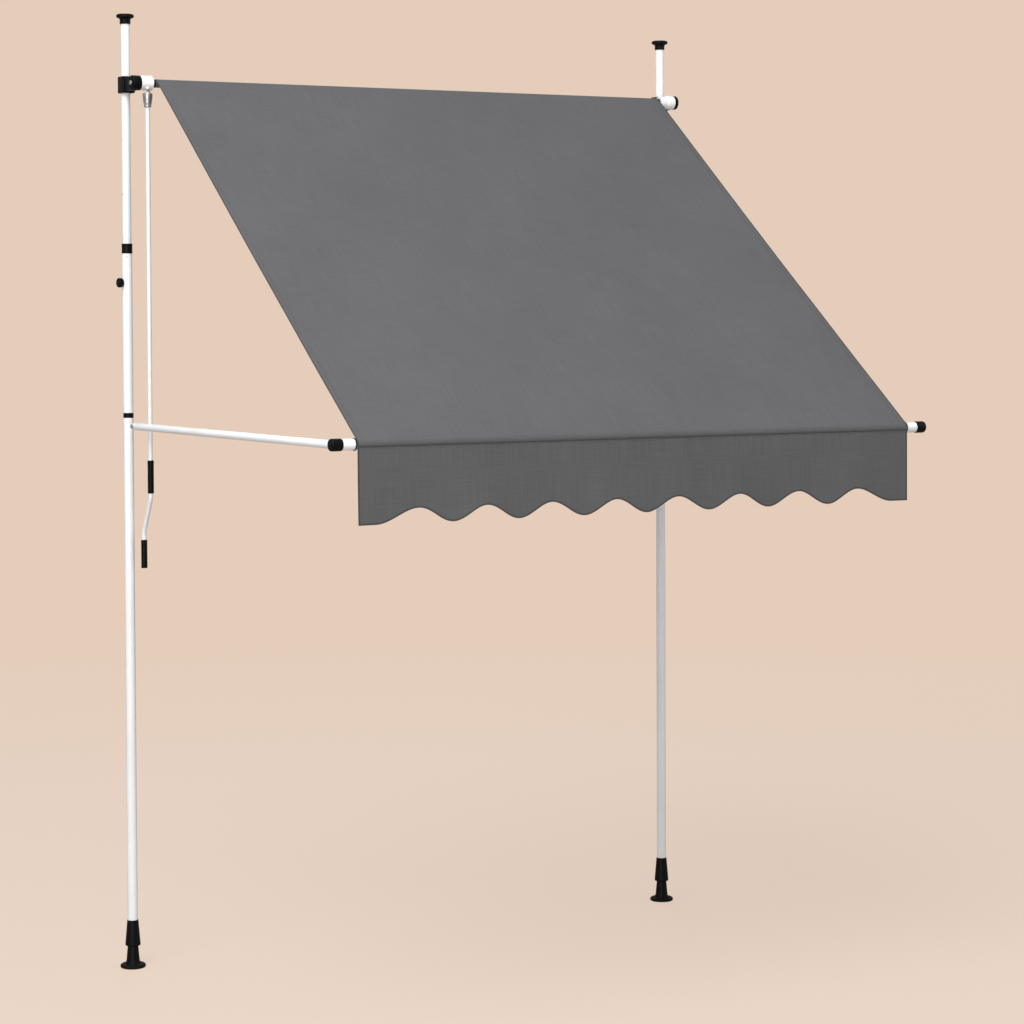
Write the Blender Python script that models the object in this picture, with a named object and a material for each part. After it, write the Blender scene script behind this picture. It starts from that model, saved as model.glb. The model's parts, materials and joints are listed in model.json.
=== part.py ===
"""Clamped awning: two telescoping posts, a crank-driven fabric roller and two swinging arms.

X runs along the front bar, the canopy reaches out towards -Y, and Z is up. The left side is -X.
"""

import math

import bmesh
import bpy
from mathutils import Vector

MM = 0.001
GAP = 0.3 * MM  # running gap between pieces that touch
ROUND = 24  # sides of a round piece

# Posts, braced between the floor and the ceiling
POST_X = 0.8075
POST_Y = 0.591
TOTAL_HEIGHT = 2.450
LOWER_RADIUS = 12.75 * MM
LOWER_WALL = 1.2 * MM
LOWER_TOP = 1.840
UPPER_RADIUS = 11.25 * MM
UPPER_WALL = 1.0 * MM
UPPER_BOTTOM = 1.190
COLLAR_HEIGHT = 25 * MM
LOCK_HEIGHT = 1.765
PIN_HEIGHTS = (1.880, 1.990, 2.130)

# Arms, elbows and front bar
ARM_X = 0.802
ARM_RADIUS = 9.25 * MM
PIVOT_Y = POST_Y - 38 * MM
BAR_Z = 1.398
BAR_Y = POST_Y - 1.200
BAR_RADIUS = 12.75 * MM
BAR_HALF = 0.8065
ELBOW_RADIUS = 14.3 * MM
ELBOW_INNER_X = 0.7873
CLAMP_LOW = 1.3845
CLAMP_HIGH = 1.419
BOLT_HOLE = 3.3 * MM

# Roller, gear and crank
ROLLER_Y = POST_Y - 65 * MM
ROLLER_Z = 2.271
ROLLER_RADIUS = 9.0 * MM
ROLL_RADIUS = 10.6 * MM
ROLLER_HALF = 0.755
GEARBOX_RADIUS = 18.5 * MM
GEARBOX_OUTER_X = -0.795
GEARBOX_INNER_X = -0.763
IDLE_LENGTH = 44.5 * MM
CRANK_X = -0.779
CRANK_Y = ROLLER_Y - 12 * MM
HOOK_Z = 2.2403
ROD_RADIUS = 5.5 * MM
ROD_TOP = 2.222
BEND_TOP = 1.215
BEND_BOTTOM = 1.126
ROD_BOTTOM = 1.0365
BEND_OFFSET = 48 * MM
GRIP_RADIUS = 8.2 * MM
UPPER_GRIP = (1.228, 1.312)  # lower and upper end
LOWER_GRIP = (1.0335, 1.106)

# Fabric
FABRIC_HALF = 0.754
FABRIC_THICK = 1.4 * MM
SEAM_Z = 1.394
LOBE_Z = 1.219
NOTCH_Z = 1.253
SCALLOP_PITCH = 0.1715
SCALLOPS = 7
SCALLOP_STEPS = 14

WHITE = ("white_enamel", "F1F1EF", 0.35, 0.0)
WHITE_PLASTIC = ("white_plastic", "F2F1EE", 0.3, 0.0)
BLACK = ("black_plastic", "1B1B1C", 0.5, 0.0)
RUBBER = ("black_rubber", "161616", 0.8, 0.0)
STEEL = ("zinc_steel", "8C8C8A", 0.4, 1.0)
FABRIC = ("grey_canvas", "6F6F70", 0.9, 0.0)


def linear(hex_colour):
    values = [int(hex_colour[i : i + 2], 16) / 255 for i in (0, 2, 4)]
    return [v / 12.92 if v <= 0.04045 else ((v + 0.055) / 1.055) ** 2.4 for v in values]


def material(finish):
    name, colour, roughness, metallic = finish
    made = bpy.data.materials.get(name)
    if made:
        return made
    made = bpy.data.materials.new(name)
    made.use_nodes = True
    shader = made.node_tree.nodes["Principled BSDF"]
    shader.inputs["Base Color"].default_value = (*linear(colour), 1)
    shader.inputs["Roughness"].default_value = roughness
    shader.inputs["Metallic"].default_value = metallic
    return made


def joint_empty(name, at, parent=None):
    """An empty on a joint's axis, which carries the pieces that move with it."""
    empty = bpy.data.objects.new(name, None)
    empty.empty_display_size = 0.03
    bpy.context.scene.collection.objects.link(empty)
    place(empty, at, parent)
    return empty


def place(obj, at, parent):
    """Puts an object at a world point, under an unturned parent."""
    obj["world"] = at
    obj.parent = parent
    obj.location = Vector(at) - Vector(parent["world"]) if parent else Vector(at)


def add(name, bm, finish, at=(0, 0, 0), turn=(0, 0, 0), parent=None):
    bmesh.ops.remove_doubles(bm, verts=bm.verts, dist=1e-6)
    bmesh.ops.recalc_face_normals(bm, faces=bm.faces)
    mesh = bpy.data.meshes.new(name)
    bm.to_mesh(mesh)
    bm.free()
    mesh.shade_smooth()
    mesh.set_sharp_from_angle(angle=math.radians(35))
    obj = bpy.data.objects.new(name, mesh)
    bpy.context.scene.collection.objects.link(obj)
    place(obj, at, parent)
    obj.rotation_euler = turn
    obj.data.materials.append(material(finish))
    return obj


def boolean(obj, tool, operation):
    tool.hide_render = True
    tool.display_type = "WIRE"
    modifier = obj.modifiers.new(tool.name, "BOOLEAN")
    modifier.object = tool
    modifier.operation = operation
    modifier.solver = "EXACT"


def turned(profile, sides=ROUND):
    """A profile of (radius, height) points spun round Z. A closed ring has no point on the axis."""
    bm = bmesh.new()
    points = [bm.verts.new((radius, 0, height)) for radius, height in profile]
    for a, b in zip(points, points[1:] + points[:1]):
        if a.co.x > 0 or b.co.x > 0:
            bm.edges.new((a, b))
    bmesh.ops.spin(
        bm, geom=bm.verts[:] + bm.edges[:], angle=math.tau, steps=sides, axis=(0, 0, 1), use_merge=True
    )
    return bm


def ring(outer, inner, low, high, sides=ROUND):
    return turned([(outer, low), (outer, high), (inner, high), (inner, low)], sides)


def rod(radius, low, high, sides=ROUND, edge=0.0):
    """A solid cylinder, with an optional chamfer at both ends."""
    profile = [(0, low), (radius - edge, low), (radius, low + edge)]
    profile += [(radius, high - edge), (radius - edge, high), (0, high)]
    return turned([p for i, p in enumerate(profile) if i == 0 or p != profile[i - 1]], sides)


def prism(outline, low, high):
    """An outline of (x, y) points extruded from one height to another."""
    bm = bmesh.new()
    face = bm.faces.new([bm.verts.new((x, y, low)) for x, y in outline])
    top = bmesh.ops.extrude_face_region(bm, geom=[face])
    moved = [g for g in top["geom"] if isinstance(g, bmesh.types.BMVert)]
    bmesh.ops.translate(bm, vec=(0, 0, high - low), verts=moved)
    return bm


def rounded(corners, steps=4):
    """Corner points (x, y, radius) turned into an outline with arcs."""
    outline = []
    for i, (x, y, radius) in enumerate(corners):
        corner = Vector((x, y))
        before = (Vector(corners[i - 1][:2]) - corner).normalized()
        after = (Vector(corners[(i + 1) % len(corners)][:2]) - corner).normalized()
        half = before.angle(after) / 2
        if radius == 0:
            outline.append((x, y))
            continue
        centre = corner + (before + after).normalized() * radius / math.sin(half)
        start = corner + before * radius / math.tan(half) - centre
        end = corner + after * radius / math.tan(half) - centre
        swing = start.angle_signed(end)
        for k in range(steps + 1):
            # angle_signed counts clockwise turns as positive
            spoke = start.copy()
            angle = -swing * k / steps
            spoke = Vector(
                (
                    start.x * math.cos(angle) - start.y * math.sin(angle),
                    start.x * math.sin(angle) + start.y * math.cos(angle),
                )
            )
            outline.append(tuple(centre + spoke))
    return outline


def arc(centre, radius, start, end, steps):
    """Points along an arc, with its angles in degrees."""
    angles = [math.radians(start + (end - start) * k / steps) for k in range(steps + 1)]
    return [(centre[0] + radius * math.cos(a), centre[1] + radius * math.sin(a)) for a in angles]


ALONG_X = (0, math.pi / 2, 0)
ALONG_Y = (math.pi / 2, 0, 0)
EXTRUDE_X = (math.pi / 2, 0, math.pi / 2)  # an outline's (x, y) becomes (Y, Z), extruded along X


def bore(obj, name, radius, length, at, turn, parent=None, sides=16):
    """A round hole centred at a point."""
    tool = add(name, rod(radius, -length / 2, length / 2, sides), STEEL, at, turn, parent)
    boolean(obj, tool, "DIFFERENCE")


def foot(side, name):
    """Rubber pad and cone on a levelling spindle, and the sleeve that plugs onto the lower tube."""
    x = side * POST_X
    turning = joint_empty(f"{name}_foot_axis", (x, POST_Y, 0))
    pad = [
        (0, 0),
        (31 * MM, 0),
        (32.5 * MM, 1.5 * MM),
        (32.5 * MM, 7.5 * MM),
        (30 * MM, 10 * MM),
        (0, 10 * MM),
    ]
    add(f"{name}_foot_pad", turned(pad), RUBBER, (x, POST_Y, 0), parent=turning)
    cone = [(17.5 * MM, 10.3 * MM), (13.5 * MM, 56 * MM), (6.3 * MM, 56 * MM), (6.3 * MM, 10.3 * MM)]
    add(f"{name}_foot_cone", turned(cone), BLACK, (x, POST_Y, 0), parent=turning)
    add(f"{name}_foot_spindle", rod(6 * MM, 10.3 * MM, 0.150, 16), STEEL, (x, POST_Y, 0), parent=turning)
    inner = LOWER_RADIUS + GAP
    sleeve = [
        (19.5 * MM, 56.3 * MM),
        (18.8 * MM, 66 * MM),
        (14.5 * MM, 0.123),
        (inner, 0.123),
        (inner, 60 * MM),
        (6.5 * MM, 60 * MM),
        (6.5 * MM, 56.3 * MM),
    ]
    add(f"{name}_foot_sleeve", turned(sleeve), BLACK, (x, POST_Y, 0))


def lower_post(side, name):
    """The fixed tube with its top collar, and the knob whose screw grips the inner tube."""
    x = side * POST_X
    at = (x, POST_Y, 0)
    tube = add(
        f"{name}_lower_tube",
        ring(LOWER_RADIUS, LOWER_RADIUS - LOWER_WALL, 60.3 * MM, LOWER_TOP),
        WHITE,
        at,
    )
    wall_x = x + side * (LOWER_RADIUS - LOWER_WALL / 2)
    bore(tube, f"{name}_lock_hole", 3.5 * MM, 6 * MM, (wall_x, POST_Y, LOCK_HEIGHT), ALONG_X)
    low, high = LOWER_TOP + GAP, LOWER_TOP + COLLAR_HEIGHT
    outer, inner = 13.8 * MM, UPPER_RADIUS + GAP
    collar = [(outer, low), (outer, high - 2 * MM), (outer - 1.2 * MM, high), (inner, high), (inner, low)]
    add(f"{name}_collar", turned(collar), BLACK, at)
    turning = joint_empty(f"{name}_lock_axis", (x, POST_Y, LOCK_HEIGHT))
    knob = [
        (0, UPPER_RADIUS + GAP),
        (3 * MM, UPPER_RADIUS + GAP),
        (3 * MM, LOWER_RADIUS + GAP),
        (7 * MM, LOWER_RADIUS + GAP),
        (7 * MM, 15 * MM),
        (11.5 * MM, 15.6 * MM),
        (12.5 * MM, 17.2 * MM),
        (12.5 * MM, 25 * MM),
        (10.5 * MM, 27 * MM),
        (0, 27 * MM),
    ]
    turn = (0, side * math.pi / 2, 0)
    add(f"{name}_lock_knob", turned(knob), BLACK, (x, POST_Y, LOCK_HEIGHT), turn, turning)


def upper_post(side, name, frame):
    """The sliding tube with its index holes, and the cap that presses on the ceiling."""
    x = side * POST_X
    at = (x, POST_Y, 0)
    tube = add(
        f"{name}_upper_tube",
        ring(UPPER_RADIUS, UPPER_RADIUS - UPPER_WALL, UPPER_BOTTOM, TOTAL_HEIGHT - 10.3 * MM),
        WHITE,
        at,
        parent=frame,
    )
    wall_x = x + side * (UPPER_RADIUS - UPPER_WALL / 2)
    for i, height in enumerate(PIN_HEIGHTS):
        hole_at = (wall_x, POST_Y, height)
        bore(tube, f"{name}_index_hole_{i + 1}", 2.6 * MM, 6 * MM, hole_at, ALONG_X, frame, 10)
    inner = UPPER_RADIUS + GAP
    top = TOTAL_HEIGHT
    cap = [
        (0, top - 10 * MM),
        (inner, top - 10 * MM),
        (inner, top - 25 * MM),
        (13.75 * MM, top - 25 * MM),
        (13.75 * MM, top - 11 * MM),
        (21.5 * MM, top - 10 * MM),
        (22.5 * MM, top - 8.5 * MM),
        (22.5 * MM, top - 1 * MM),
        (21.5 * MM, top),
        (0, top),
    ]
    add(f"{name}_head_cap", turned(cap), BLACK, at, parent=frame)


def arm_clamp(side, name):
    """Moulded clamp on the lower tube, whose inner lug carries the arm's bolt."""
    x = side * POST_X
    # Faces of the clamp, measured outwards and backwards from the post's axis
    outer, inner = 21 * MM, -20.5 * MM
    back, front = 28 * MM, -20 * MM
    lug_face = inner + 5.2 * MM
    lug_front = -52 * MM
    corners = [
        (outer, back, 10 * MM),
        (outer, front, 5 * MM),
        (lug_face, front, 0),
        (lug_face, lug_front, 1 * MM),
        (inner, lug_front, 2 * MM),
        (inner, back, 10 * MM),
    ]
    outline = rounded([(side * u, v, radius) for u, v, radius in corners])
    clamp = add(f"{name}_arm_clamp", prism(outline, CLAMP_LOW, CLAMP_HIGH), BLACK, (x, POST_Y, 0))
    middle = (CLAMP_LOW + CLAMP_HIGH) / 2
    bore_at = (x, POST_Y, middle)
    bore(clamp, f"{name}_clamp_bore", LOWER_RADIUS + GAP, 60 * MM, bore_at, (0, 0, 0), None, ROUND)
    lug_at = (x + side * (inner + lug_face) / 2, PIVOT_Y, BAR_Z)
    bore(clamp, f"{name}_clamp_lug_hole", BOLT_HOLE, 12 * MM, lug_at, ALONG_X)
    screw_at = (x, POST_Y + 21 * MM, middle)
    bore(clamp, f"{name}_clamp_screw_hole", BOLT_HOLE, 20 * MM, screw_at, ALONG_Y)
    screw = rod(3 * MM, GAP / 2 - back, -LOWER_RADIUS - GAP, 12)
    add(f"{name}_arm_clamp_screw", screw, STEEL, (x, POST_Y, middle), ALONG_Y)
    bolt = [(0, 0), (3 * MM, 0), (3 * MM, 27 * MM), (6 * MM, 27 * MM), (5 * MM, 30 * MM), (0, 30 * MM)]
    start = (x + side * inner, PIVOT_Y, BAR_Z)
    add(f"{name}_arm_bolt", turned(bolt, 16), STEEL, start, (0, side * math.pi / 2, 0))


def arm(side, name, swing):
    """White tube that turns on the clamp's bolt and takes the elbow's spigot."""
    x = side * ARM_X
    back = POST_Y - 26 * MM
    front = BAR_Y + ELBOW_RADIUS + GAP
    tube = add(
        f"{name}_arm",
        ring(ARM_RADIUS, ARM_RADIUS - 1 * MM, 0, back - front),
        WHITE,
        (x, back, BAR_Z),
        ALONG_Y,
        swing,
    )
    bore(tube, f"{name}_arm_hole", BOLT_HOLE, 40 * MM, (x, PIVOT_Y, BAR_Z), ALONG_X, swing)


def elbow(side, name, swing):
    """Moulded barrel that holds the bar's end, with a spigot into the arm."""
    inner_x = side * ELBOW_INNER_X
    length = 28.4 * MM
    wall = 8.5 * MM
    bar_bore = BAR_RADIUS + GAP
    barrel = [
        (2.3 * MM, length),
        (ELBOW_RADIUS - 3.5 * MM, length),
        (ELBOW_RADIUS - 1 * MM, length - 1 * MM),
        (ELBOW_RADIUS, length - 3.5 * MM),
        (ELBOW_RADIUS, 2 * MM),
        (ELBOW_RADIUS - 0.8 * MM, 0),
        (bar_bore, 0),
        (bar_bore, length - wall),
        (2.3 * MM, length - wall),
    ]
    at = (inner_x, BAR_Y, BAR_Z)
    turn = (0, side * math.pi / 2, 0)
    body = add(f"{name}_elbow", turned(barrel), BLACK, at, turn, swing)
    spigot = rod(ARM_RADIUS - 1 * MM - GAP, -40 * MM, -(bar_bore + 0.5 * MM), 16)
    spigot_at = (side * ARM_X, BAR_Y, BAR_Z)
    boolean(body, add(f"{name}_spigot", spigot, BLACK, spigot_at, ALONG_Y, swing), "UNION")
    screw = [
        (0, length - wall + 1 * MM),
        (2 * MM, length - wall + 1 * MM),
        (2 * MM, length + GAP),
        (4.5 * MM, length + GAP),
        (4 * MM, length + 2.5 * MM),
        (0, length + 2.5 * MM),
    ]
    add(f"{name}_elbow_screw", turned(screw, 16), STEEL, at, turn, swing)


def roller_clamp(side, name, frame):
    """Clamp on the upper tube that reaches forward to the roller's end."""
    x = side * POST_X
    at = (x, POST_Y, ROLLER_Z)
    # Faces of the plate, measured outwards from the post's axis; the right one closes the bearing housing
    plate_inner, plate_outer = (-12.2 * MM, 11 * MM) if side < 0 else (0.5 * MM, 10 * MM)
    flange = 19 * MM
    edge = flange - 3 * MM
    rear, neck = -10 * MM, -40 * MM
    outline = [(rear, edge), (neck, edge)] + arc((ROLLER_Y - POST_Y, 0), flange, 60, 300, 16)
    outline += [(neck, -edge), (rear, -edge)]
    low, high = sorted((side * plate_inner, side * plate_outer))
    body = add(f"{name}_roller_clamp", prism(outline, low, high), BLACK, at, EXTRUDE_X, frame)
    outer, inner = 15.5 * MM, -18.5 * MM
    back, front = 19 * MM, -20 * MM
    corners = [
        (outer, back, 6 * MM),
        (outer, front, 4 * MM),
        (inner, front, 4 * MM),
        (inner, back, 6 * MM),
    ]
    block = rounded([(side * u, v, radius) for u, v, radius in corners])
    hub = add(f"{name}_clamp_block", prism(block, -22 * MM, 20 * MM), BLACK, at, parent=frame)
    boolean(body, hub, "UNION")
    bore(body, f"{name}_post_bore", UPPER_RADIUS + GAP, 70 * MM, at, (0, 0, 0), frame, ROUND)
    bolt_at = (x, ROLLER_Y, ROLLER_Z)
    bore(body, f"{name}_bolt_bore", BOLT_HOLE, 80 * MM, bolt_at, ALONG_X, frame)
    screw_at = (x, POST_Y + 16 * MM, ROLLER_Z)
    bore(body, f"{name}_screw_bore", BOLT_HOLE, 16 * MM, screw_at, ALONG_Y, frame)
    screw = rod(3 * MM, GAP - back, -UPPER_RADIUS - GAP, 12)
    add(f"{name}_roller_clamp_screw", screw, STEEL, at, ALONG_Y, frame)
    tip = plate_inner + 0.5 * MM
    face = plate_outer + GAP
    bolt = [
        (0, tip),
        (3 * MM, tip),
        (3 * MM, face),
        (6.5 * MM, face),
        (5.5 * MM, face + 4 * MM),
        (0, face + 4 * MM),
    ]
    add(f"{name}_roller_bolt", turned(bolt, 16), STEEL, bolt_at, (0, side * math.pi / 2, 0), frame)


def gearbox(frame):
    """White gear housing at the roller's left end, with a cover on its roller side."""
    depth = GEARBOX_INNER_X - GEARBOX_OUTER_X
    lid = 3.2 * MM
    cup = [
        (0, 0),
        (GEARBOX_RADIUS - 1 * MM, 0),
        (GEARBOX_RADIUS, 1 * MM),
        (GEARBOX_RADIUS, depth - lid - GAP),
        (GEARBOX_RADIUS - 2 * MM, depth - lid - GAP),
        (GEARBOX_RADIUS - 2 * MM, 3 * MM),
        (0, 3 * MM),
    ]
    at = (GEARBOX_OUTER_X, ROLLER_Y, ROLLER_Z)
    housing = add("gearbox", turned(cup), WHITE_PLASTIC, at, ALONG_X, frame)
    bore(housing, "worm_bore", 2.8 * MM, 24 * MM, (CRANK_X, CRANK_Y, ROLLER_Z - 18 * MM), (0, 0, 0), frame)
    cover = ring(GEARBOX_RADIUS, 4.3 * MM, depth - lid, depth)
    add("gearbox_cover", cover, WHITE_PLASTIC, at, ALONG_X, frame)


def idle_housing(frame):
    """White bearing housing at the roller's right end."""
    start = -GEARBOX_INNER_X
    body = [
        (16.8 * MM, 0),
        (16.8 * MM, 23 * MM),
        (18 * MM, 23 * MM),
        (19 * MM, 24 * MM),
        (19 * MM, IDLE_LENGTH),
        (4.3 * MM, IDLE_LENGTH),
        (4.3 * MM, 0),
    ]
    add("idle_housing", turned(body), WHITE_PLASTIC, (start, ROLLER_Y, ROLLER_Z), ALONG_X, frame)


def roller(frame):
    """Fabric roller with an end plug at each side, and the worm wheel on the drive plug's shaft."""
    turning = joint_empty("roller_axis", (0, ROLLER_Y, ROLLER_Z), frame)
    at = (0, ROLLER_Y, ROLLER_Z)
    tube = ring(ROLLER_RADIUS, ROLLER_RADIUS - 1 * MM, -ROLLER_HALF, ROLLER_HALF)
    add("roller_tube", tube, STEEL, at, ALONG_X, turning)
    roll = ring(ROLL_RADIUS, ROLLER_RADIUS + GAP, -FABRIC_HALF, FABRIC_HALF)
    add("fabric_roll", roll, FABRIC, at, ALONG_X, turning)
    plug_at = ROLLER_HALF + GAP
    for name, side, flange_end, shaft_end in (
        ("drive_plug", -1, -GEARBOX_INNER_X - GAP, 0.7895),
        ("idle_plug", 1, -GEARBOX_INNER_X - GAP, 0.790),
    ):
        plug = [
            (0, 0.720),
            (7.7 * MM, 0.720),
            (7.7 * MM, plug_at),
            (10.5 * MM, plug_at),
            (10.5 * MM, flange_end),
            (4 * MM, flange_end),
            (4 * MM, shaft_end),
            (0, shaft_end),
        ]
        add(name, turned(plug), BLACK, at, (0, side * math.pi / 2, 0), turning)
    teeth = 14
    outline = []
    for k in range(teeth * 4):
        radius = (8 if k % 4 < 2 else 6.6) * MM
        angle = math.tau * k / (teeth * 4)
        outline.append((radius * math.cos(angle), radius * math.sin(angle)))
    wheel_at = (CRANK_X, ROLLER_Y, ROLLER_Z)
    wheel = add("worm_wheel", prism(outline, -4 * MM, 4 * MM), STEEL, wheel_at, EXTRUDE_X, turning)
    bore(wheel, "wheel_bore", 4.3 * MM, 20 * MM, wheel_at, ALONG_X, turning)


def gear_input(frame):
    """Worm on its upright shaft, with the eye below the gearbox that the crank hooks into."""
    at = (CRANK_X, CRANK_Y, 0)
    turning = joint_empty("crank_axis", (CRANK_X, CRANK_Y, HOOK_Z), frame)
    worm = [
        (0, 2.2528),
        (2.5 * MM, 2.2528),
        (2.5 * MM, 2.2667),
        (3.7 * MM, 2.2667),
        (3.7 * MM, 2.2753),
        (2.5 * MM, 2.2753),
        (2.5 * MM, 2.2785),
        (0, 2.2785),
    ]
    add("worm", turned(worm, 16), STEEL, at, parent=turning)
    wire = 1.5 * MM
    loop = 7 * MM
    section = [(loop + wire * math.cos(a), wire * math.sin(a)) for a in (math.tau * k / 8 for k in range(8))]
    eye = turned(section, 20)
    add("gear_eye", eye, STEEL, (CRANK_X, CRANK_Y, 2.244), ALONG_Y, turning)
    return turning


def bend(before, corner, after, reach=9 * MM, steps=5):
    """Points of a bend in a rod, from one straight run to the next."""
    corner = Vector(corner)
    start = corner + (Vector(before) - corner).normalized() * reach
    end = corner + (Vector(after) - corner).normalized() * reach
    shares = [k / steps for k in range(steps + 1)]
    return [tuple(start.lerp(corner, t).lerp(corner.lerp(end, t), t)) for t in shares]


def crank(input_axis):
    """Hook socket, bent rod and two free-spinning grips, hung from the gear's eye."""
    swing = joint_empty("crank_hook", (CRANK_X, CRANK_Y, HOOK_Z), input_axis)
    at = (CRANK_X, CRANK_Y, 0)
    # Radius and height: a bell that narrows to the rod's neck, hollow for the eye
    socket = [
        (12.5 * MM, 2.2440),
        (12.2 * MM, 2.2330),
        (10.2 * MM, 2.2170),
        (9.4 * MM, 2.2150),
        (9.4 * MM, 2.2095),
        (5.8 * MM, 2.2095),
        (5.8 * MM, 2.2225),
        (8.6 * MM, 2.2225),
        (10.9 * MM, 2.2440),
    ]
    bell = add("crank_socket", turned(socket), STEEL, at, parent=swing)
    pin_at = (CRANK_X, CRANK_Y, HOOK_Z)
    bore(bell, "pin_hole", 1.8 * MM, 30 * MM, pin_at, ALONG_Y, swing, 10)
    add("hook_pin", rod(1.5 * MM, -12.2 * MM, 12.2 * MM, 10), STEEL, pin_at, ALONG_Y, swing)
    curve = bpy.data.curves.new("crank_rod", "CURVE")
    curve.dimensions = "3D"
    curve.bevel_depth = ROD_RADIUS
    curve.bevel_resolution = 4
    curve.use_fill_caps = True
    top, bottom = (0, ROD_TOP), (BEND_OFFSET, ROD_BOTTOM)
    upper_bend, lower_bend = (0, BEND_TOP), (BEND_OFFSET, BEND_BOTTOM)
    route = [top]
    route += bend(top, upper_bend, lower_bend)
    route += bend(upper_bend, lower_bend, bottom)
    route.append(bottom)
    spline = curve.splines.new("POLY")
    spline.points.add(len(route) - 1)
    for point, (offset, height) in zip(spline.points, route):
        point.co = (0, offset, height, 1)
    curve.materials.append(material(WHITE))
    bar = bpy.data.objects.new("crank_rod", curve)
    bpy.context.scene.collection.objects.link(bar)
    place(bar, at, swing)
    upper = joint_empty("upper_grip_axis", at, swing)
    grip_bore = ROD_RADIUS + GAP
    add("upper_grip", grip(GRIP_RADIUS, *UPPER_GRIP, grip_bore), BLACK, at, parent=upper)
    lower_at = (CRANK_X, CRANK_Y + BEND_OFFSET, 0)
    lower = joint_empty("lower_grip_axis", lower_at, swing)
    low, high = LOWER_GRIP
    closed = [
        (0, low),
        (GRIP_RADIUS - 1.7 * MM, low),
        (GRIP_RADIUS, low + 2.5 * MM),
        (GRIP_RADIUS - 0.6 * MM, (low + high) / 2),
        (GRIP_RADIUS, high - 2 * MM),
        (GRIP_RADIUS - 1 * MM, high),
        (grip_bore, high),
        (grip_bore, ROD_BOTTOM - GAP),
        (0, ROD_BOTTOM - GAP),
    ]
    add("lower_grip", turned(closed), BLACK, lower_at, parent=lower)


def grip(radius, low, high, inner):
    waist = (low + high) / 2
    edge = 1.2 * MM
    profile = [
        (radius - edge, low),
        (radius, low + edge),
        (radius - 0.6 * MM, waist),
        (radius, high - edge),
        (radius - edge, high),
        (inner, high),
        (inner, low),
    ]
    return turned(profile)


def canopy(frame):
    """The stretched sheet, from the roll's top over the bar to the seam on its front."""
    roll = Vector((ROLLER_Y, ROLLER_Z))
    bar = Vector((BAR_Y, BAR_Z))
    roll_radius = ROLL_RADIUS + GAP
    bar_radius = BAR_RADIUS + GAP
    run = bar - roll
    lean = math.asin((roll_radius - bar_radius) / run.length)
    normal_angle = math.degrees(math.atan2(run.y, run.x) - math.pi / 2 + lean) % 360
    front = 180.0
    outline = arc(roll, roll_radius, normal_angle, normal_angle, 1)[:1]
    outline += arc(bar, bar_radius, normal_angle, front, 6)
    outer = arc(roll, roll_radius + FABRIC_THICK, normal_angle, normal_angle, 1)[:1]
    outer += arc(bar, bar_radius + FABRIC_THICK, normal_angle, front, 6)
    sheet = prism(outline + outer[::-1], -FABRIC_HALF, FABRIC_HALF)
    add("canopy", sheet, FABRIC, (0, 0, 0), EXTRUDE_X, frame)


def valance(bar_axis):
    """Cloth strip with a scalloped lower edge, hanging from the seam at the bar's front."""
    top = SEAM_Z
    half_run = SCALLOPS * SCALLOP_PITCH / 2
    flat = SCALLOP_PITCH / 2
    edge = [(-FABRIC_HALF, top), (-FABRIC_HALF, LOBE_Z)]
    depth = NOTCH_Z - LOBE_Z
    start, end = -half_run - flat, half_run + flat
    steps = (SCALLOPS + 1) * SCALLOP_STEPS
    for k in range(steps + 1):
        x = start + (end - start) * k / steps
        edge.append((x, LOBE_Z + depth * (1 + math.cos(math.tau * (x - half_run) / SCALLOP_PITCH)) / 2))
    edge += [(FABRIC_HALF, LOBE_Z), (FABRIC_HALF, top)]
    sheet = prism([(x, z - top) for x, z in edge], 0, FABRIC_THICK)
    front = BAR_Y - BAR_RADIUS - 2 * GAP
    add("valance", sheet, FABRIC, (0, front, top), ALONG_Y, bar_axis)


def front_bar(swing):
    """The bar turns in its elbows, so the valance keeps hanging plumb."""
    axis = joint_empty("bar_axis", (0, BAR_Y, BAR_Z), swing)
    at = (0, BAR_Y, BAR_Z)
    tube = ring(BAR_RADIUS, BAR_RADIUS - 1.2 * MM, -BAR_HALF, BAR_HALF)
    add("front_bar", tube, WHITE, at, ALONG_X, axis)
    for side, name in SIDES:
        start = FABRIC_HALF + GAP
        stop = ring(14.4 * MM, BAR_RADIUS + GAP, start, start + 3 * MM)
        add(f"{name}_bar_ring", stop, BLACK, at, (0, side * math.pi / 2, 0), axis)
    valance(axis)


SIDES = ((-1, "left"), (1, "right"))


def main():
    for obj in list(bpy.data.objects):
        bpy.data.objects.remove(obj)
    frame = joint_empty("height_slide", (0, POST_Y, LOWER_TOP))
    swing = joint_empty("arm_swing", (0, PIVOT_Y, BAR_Z))
    for side, name in SIDES:
        foot(side, name)
        lower_post(side, name)
        upper_post(side, name, frame)
        arm_clamp(side, name)
        arm(side, name, swing)
        elbow(side, name, swing)
        roller_clamp(side, name, frame)
    gearbox(frame)
    idle_housing(frame)
    roller(frame)
    crank(gear_input(frame))
    front_bar(swing)
    canopy(frame)


main()
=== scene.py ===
"""Looks of the clamped canvas awning: enamelled tubes, moulded fittings, canopy and valance."""

import json
import math

import bmesh
import bpy
from mathutils import Matrix, Vector

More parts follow.
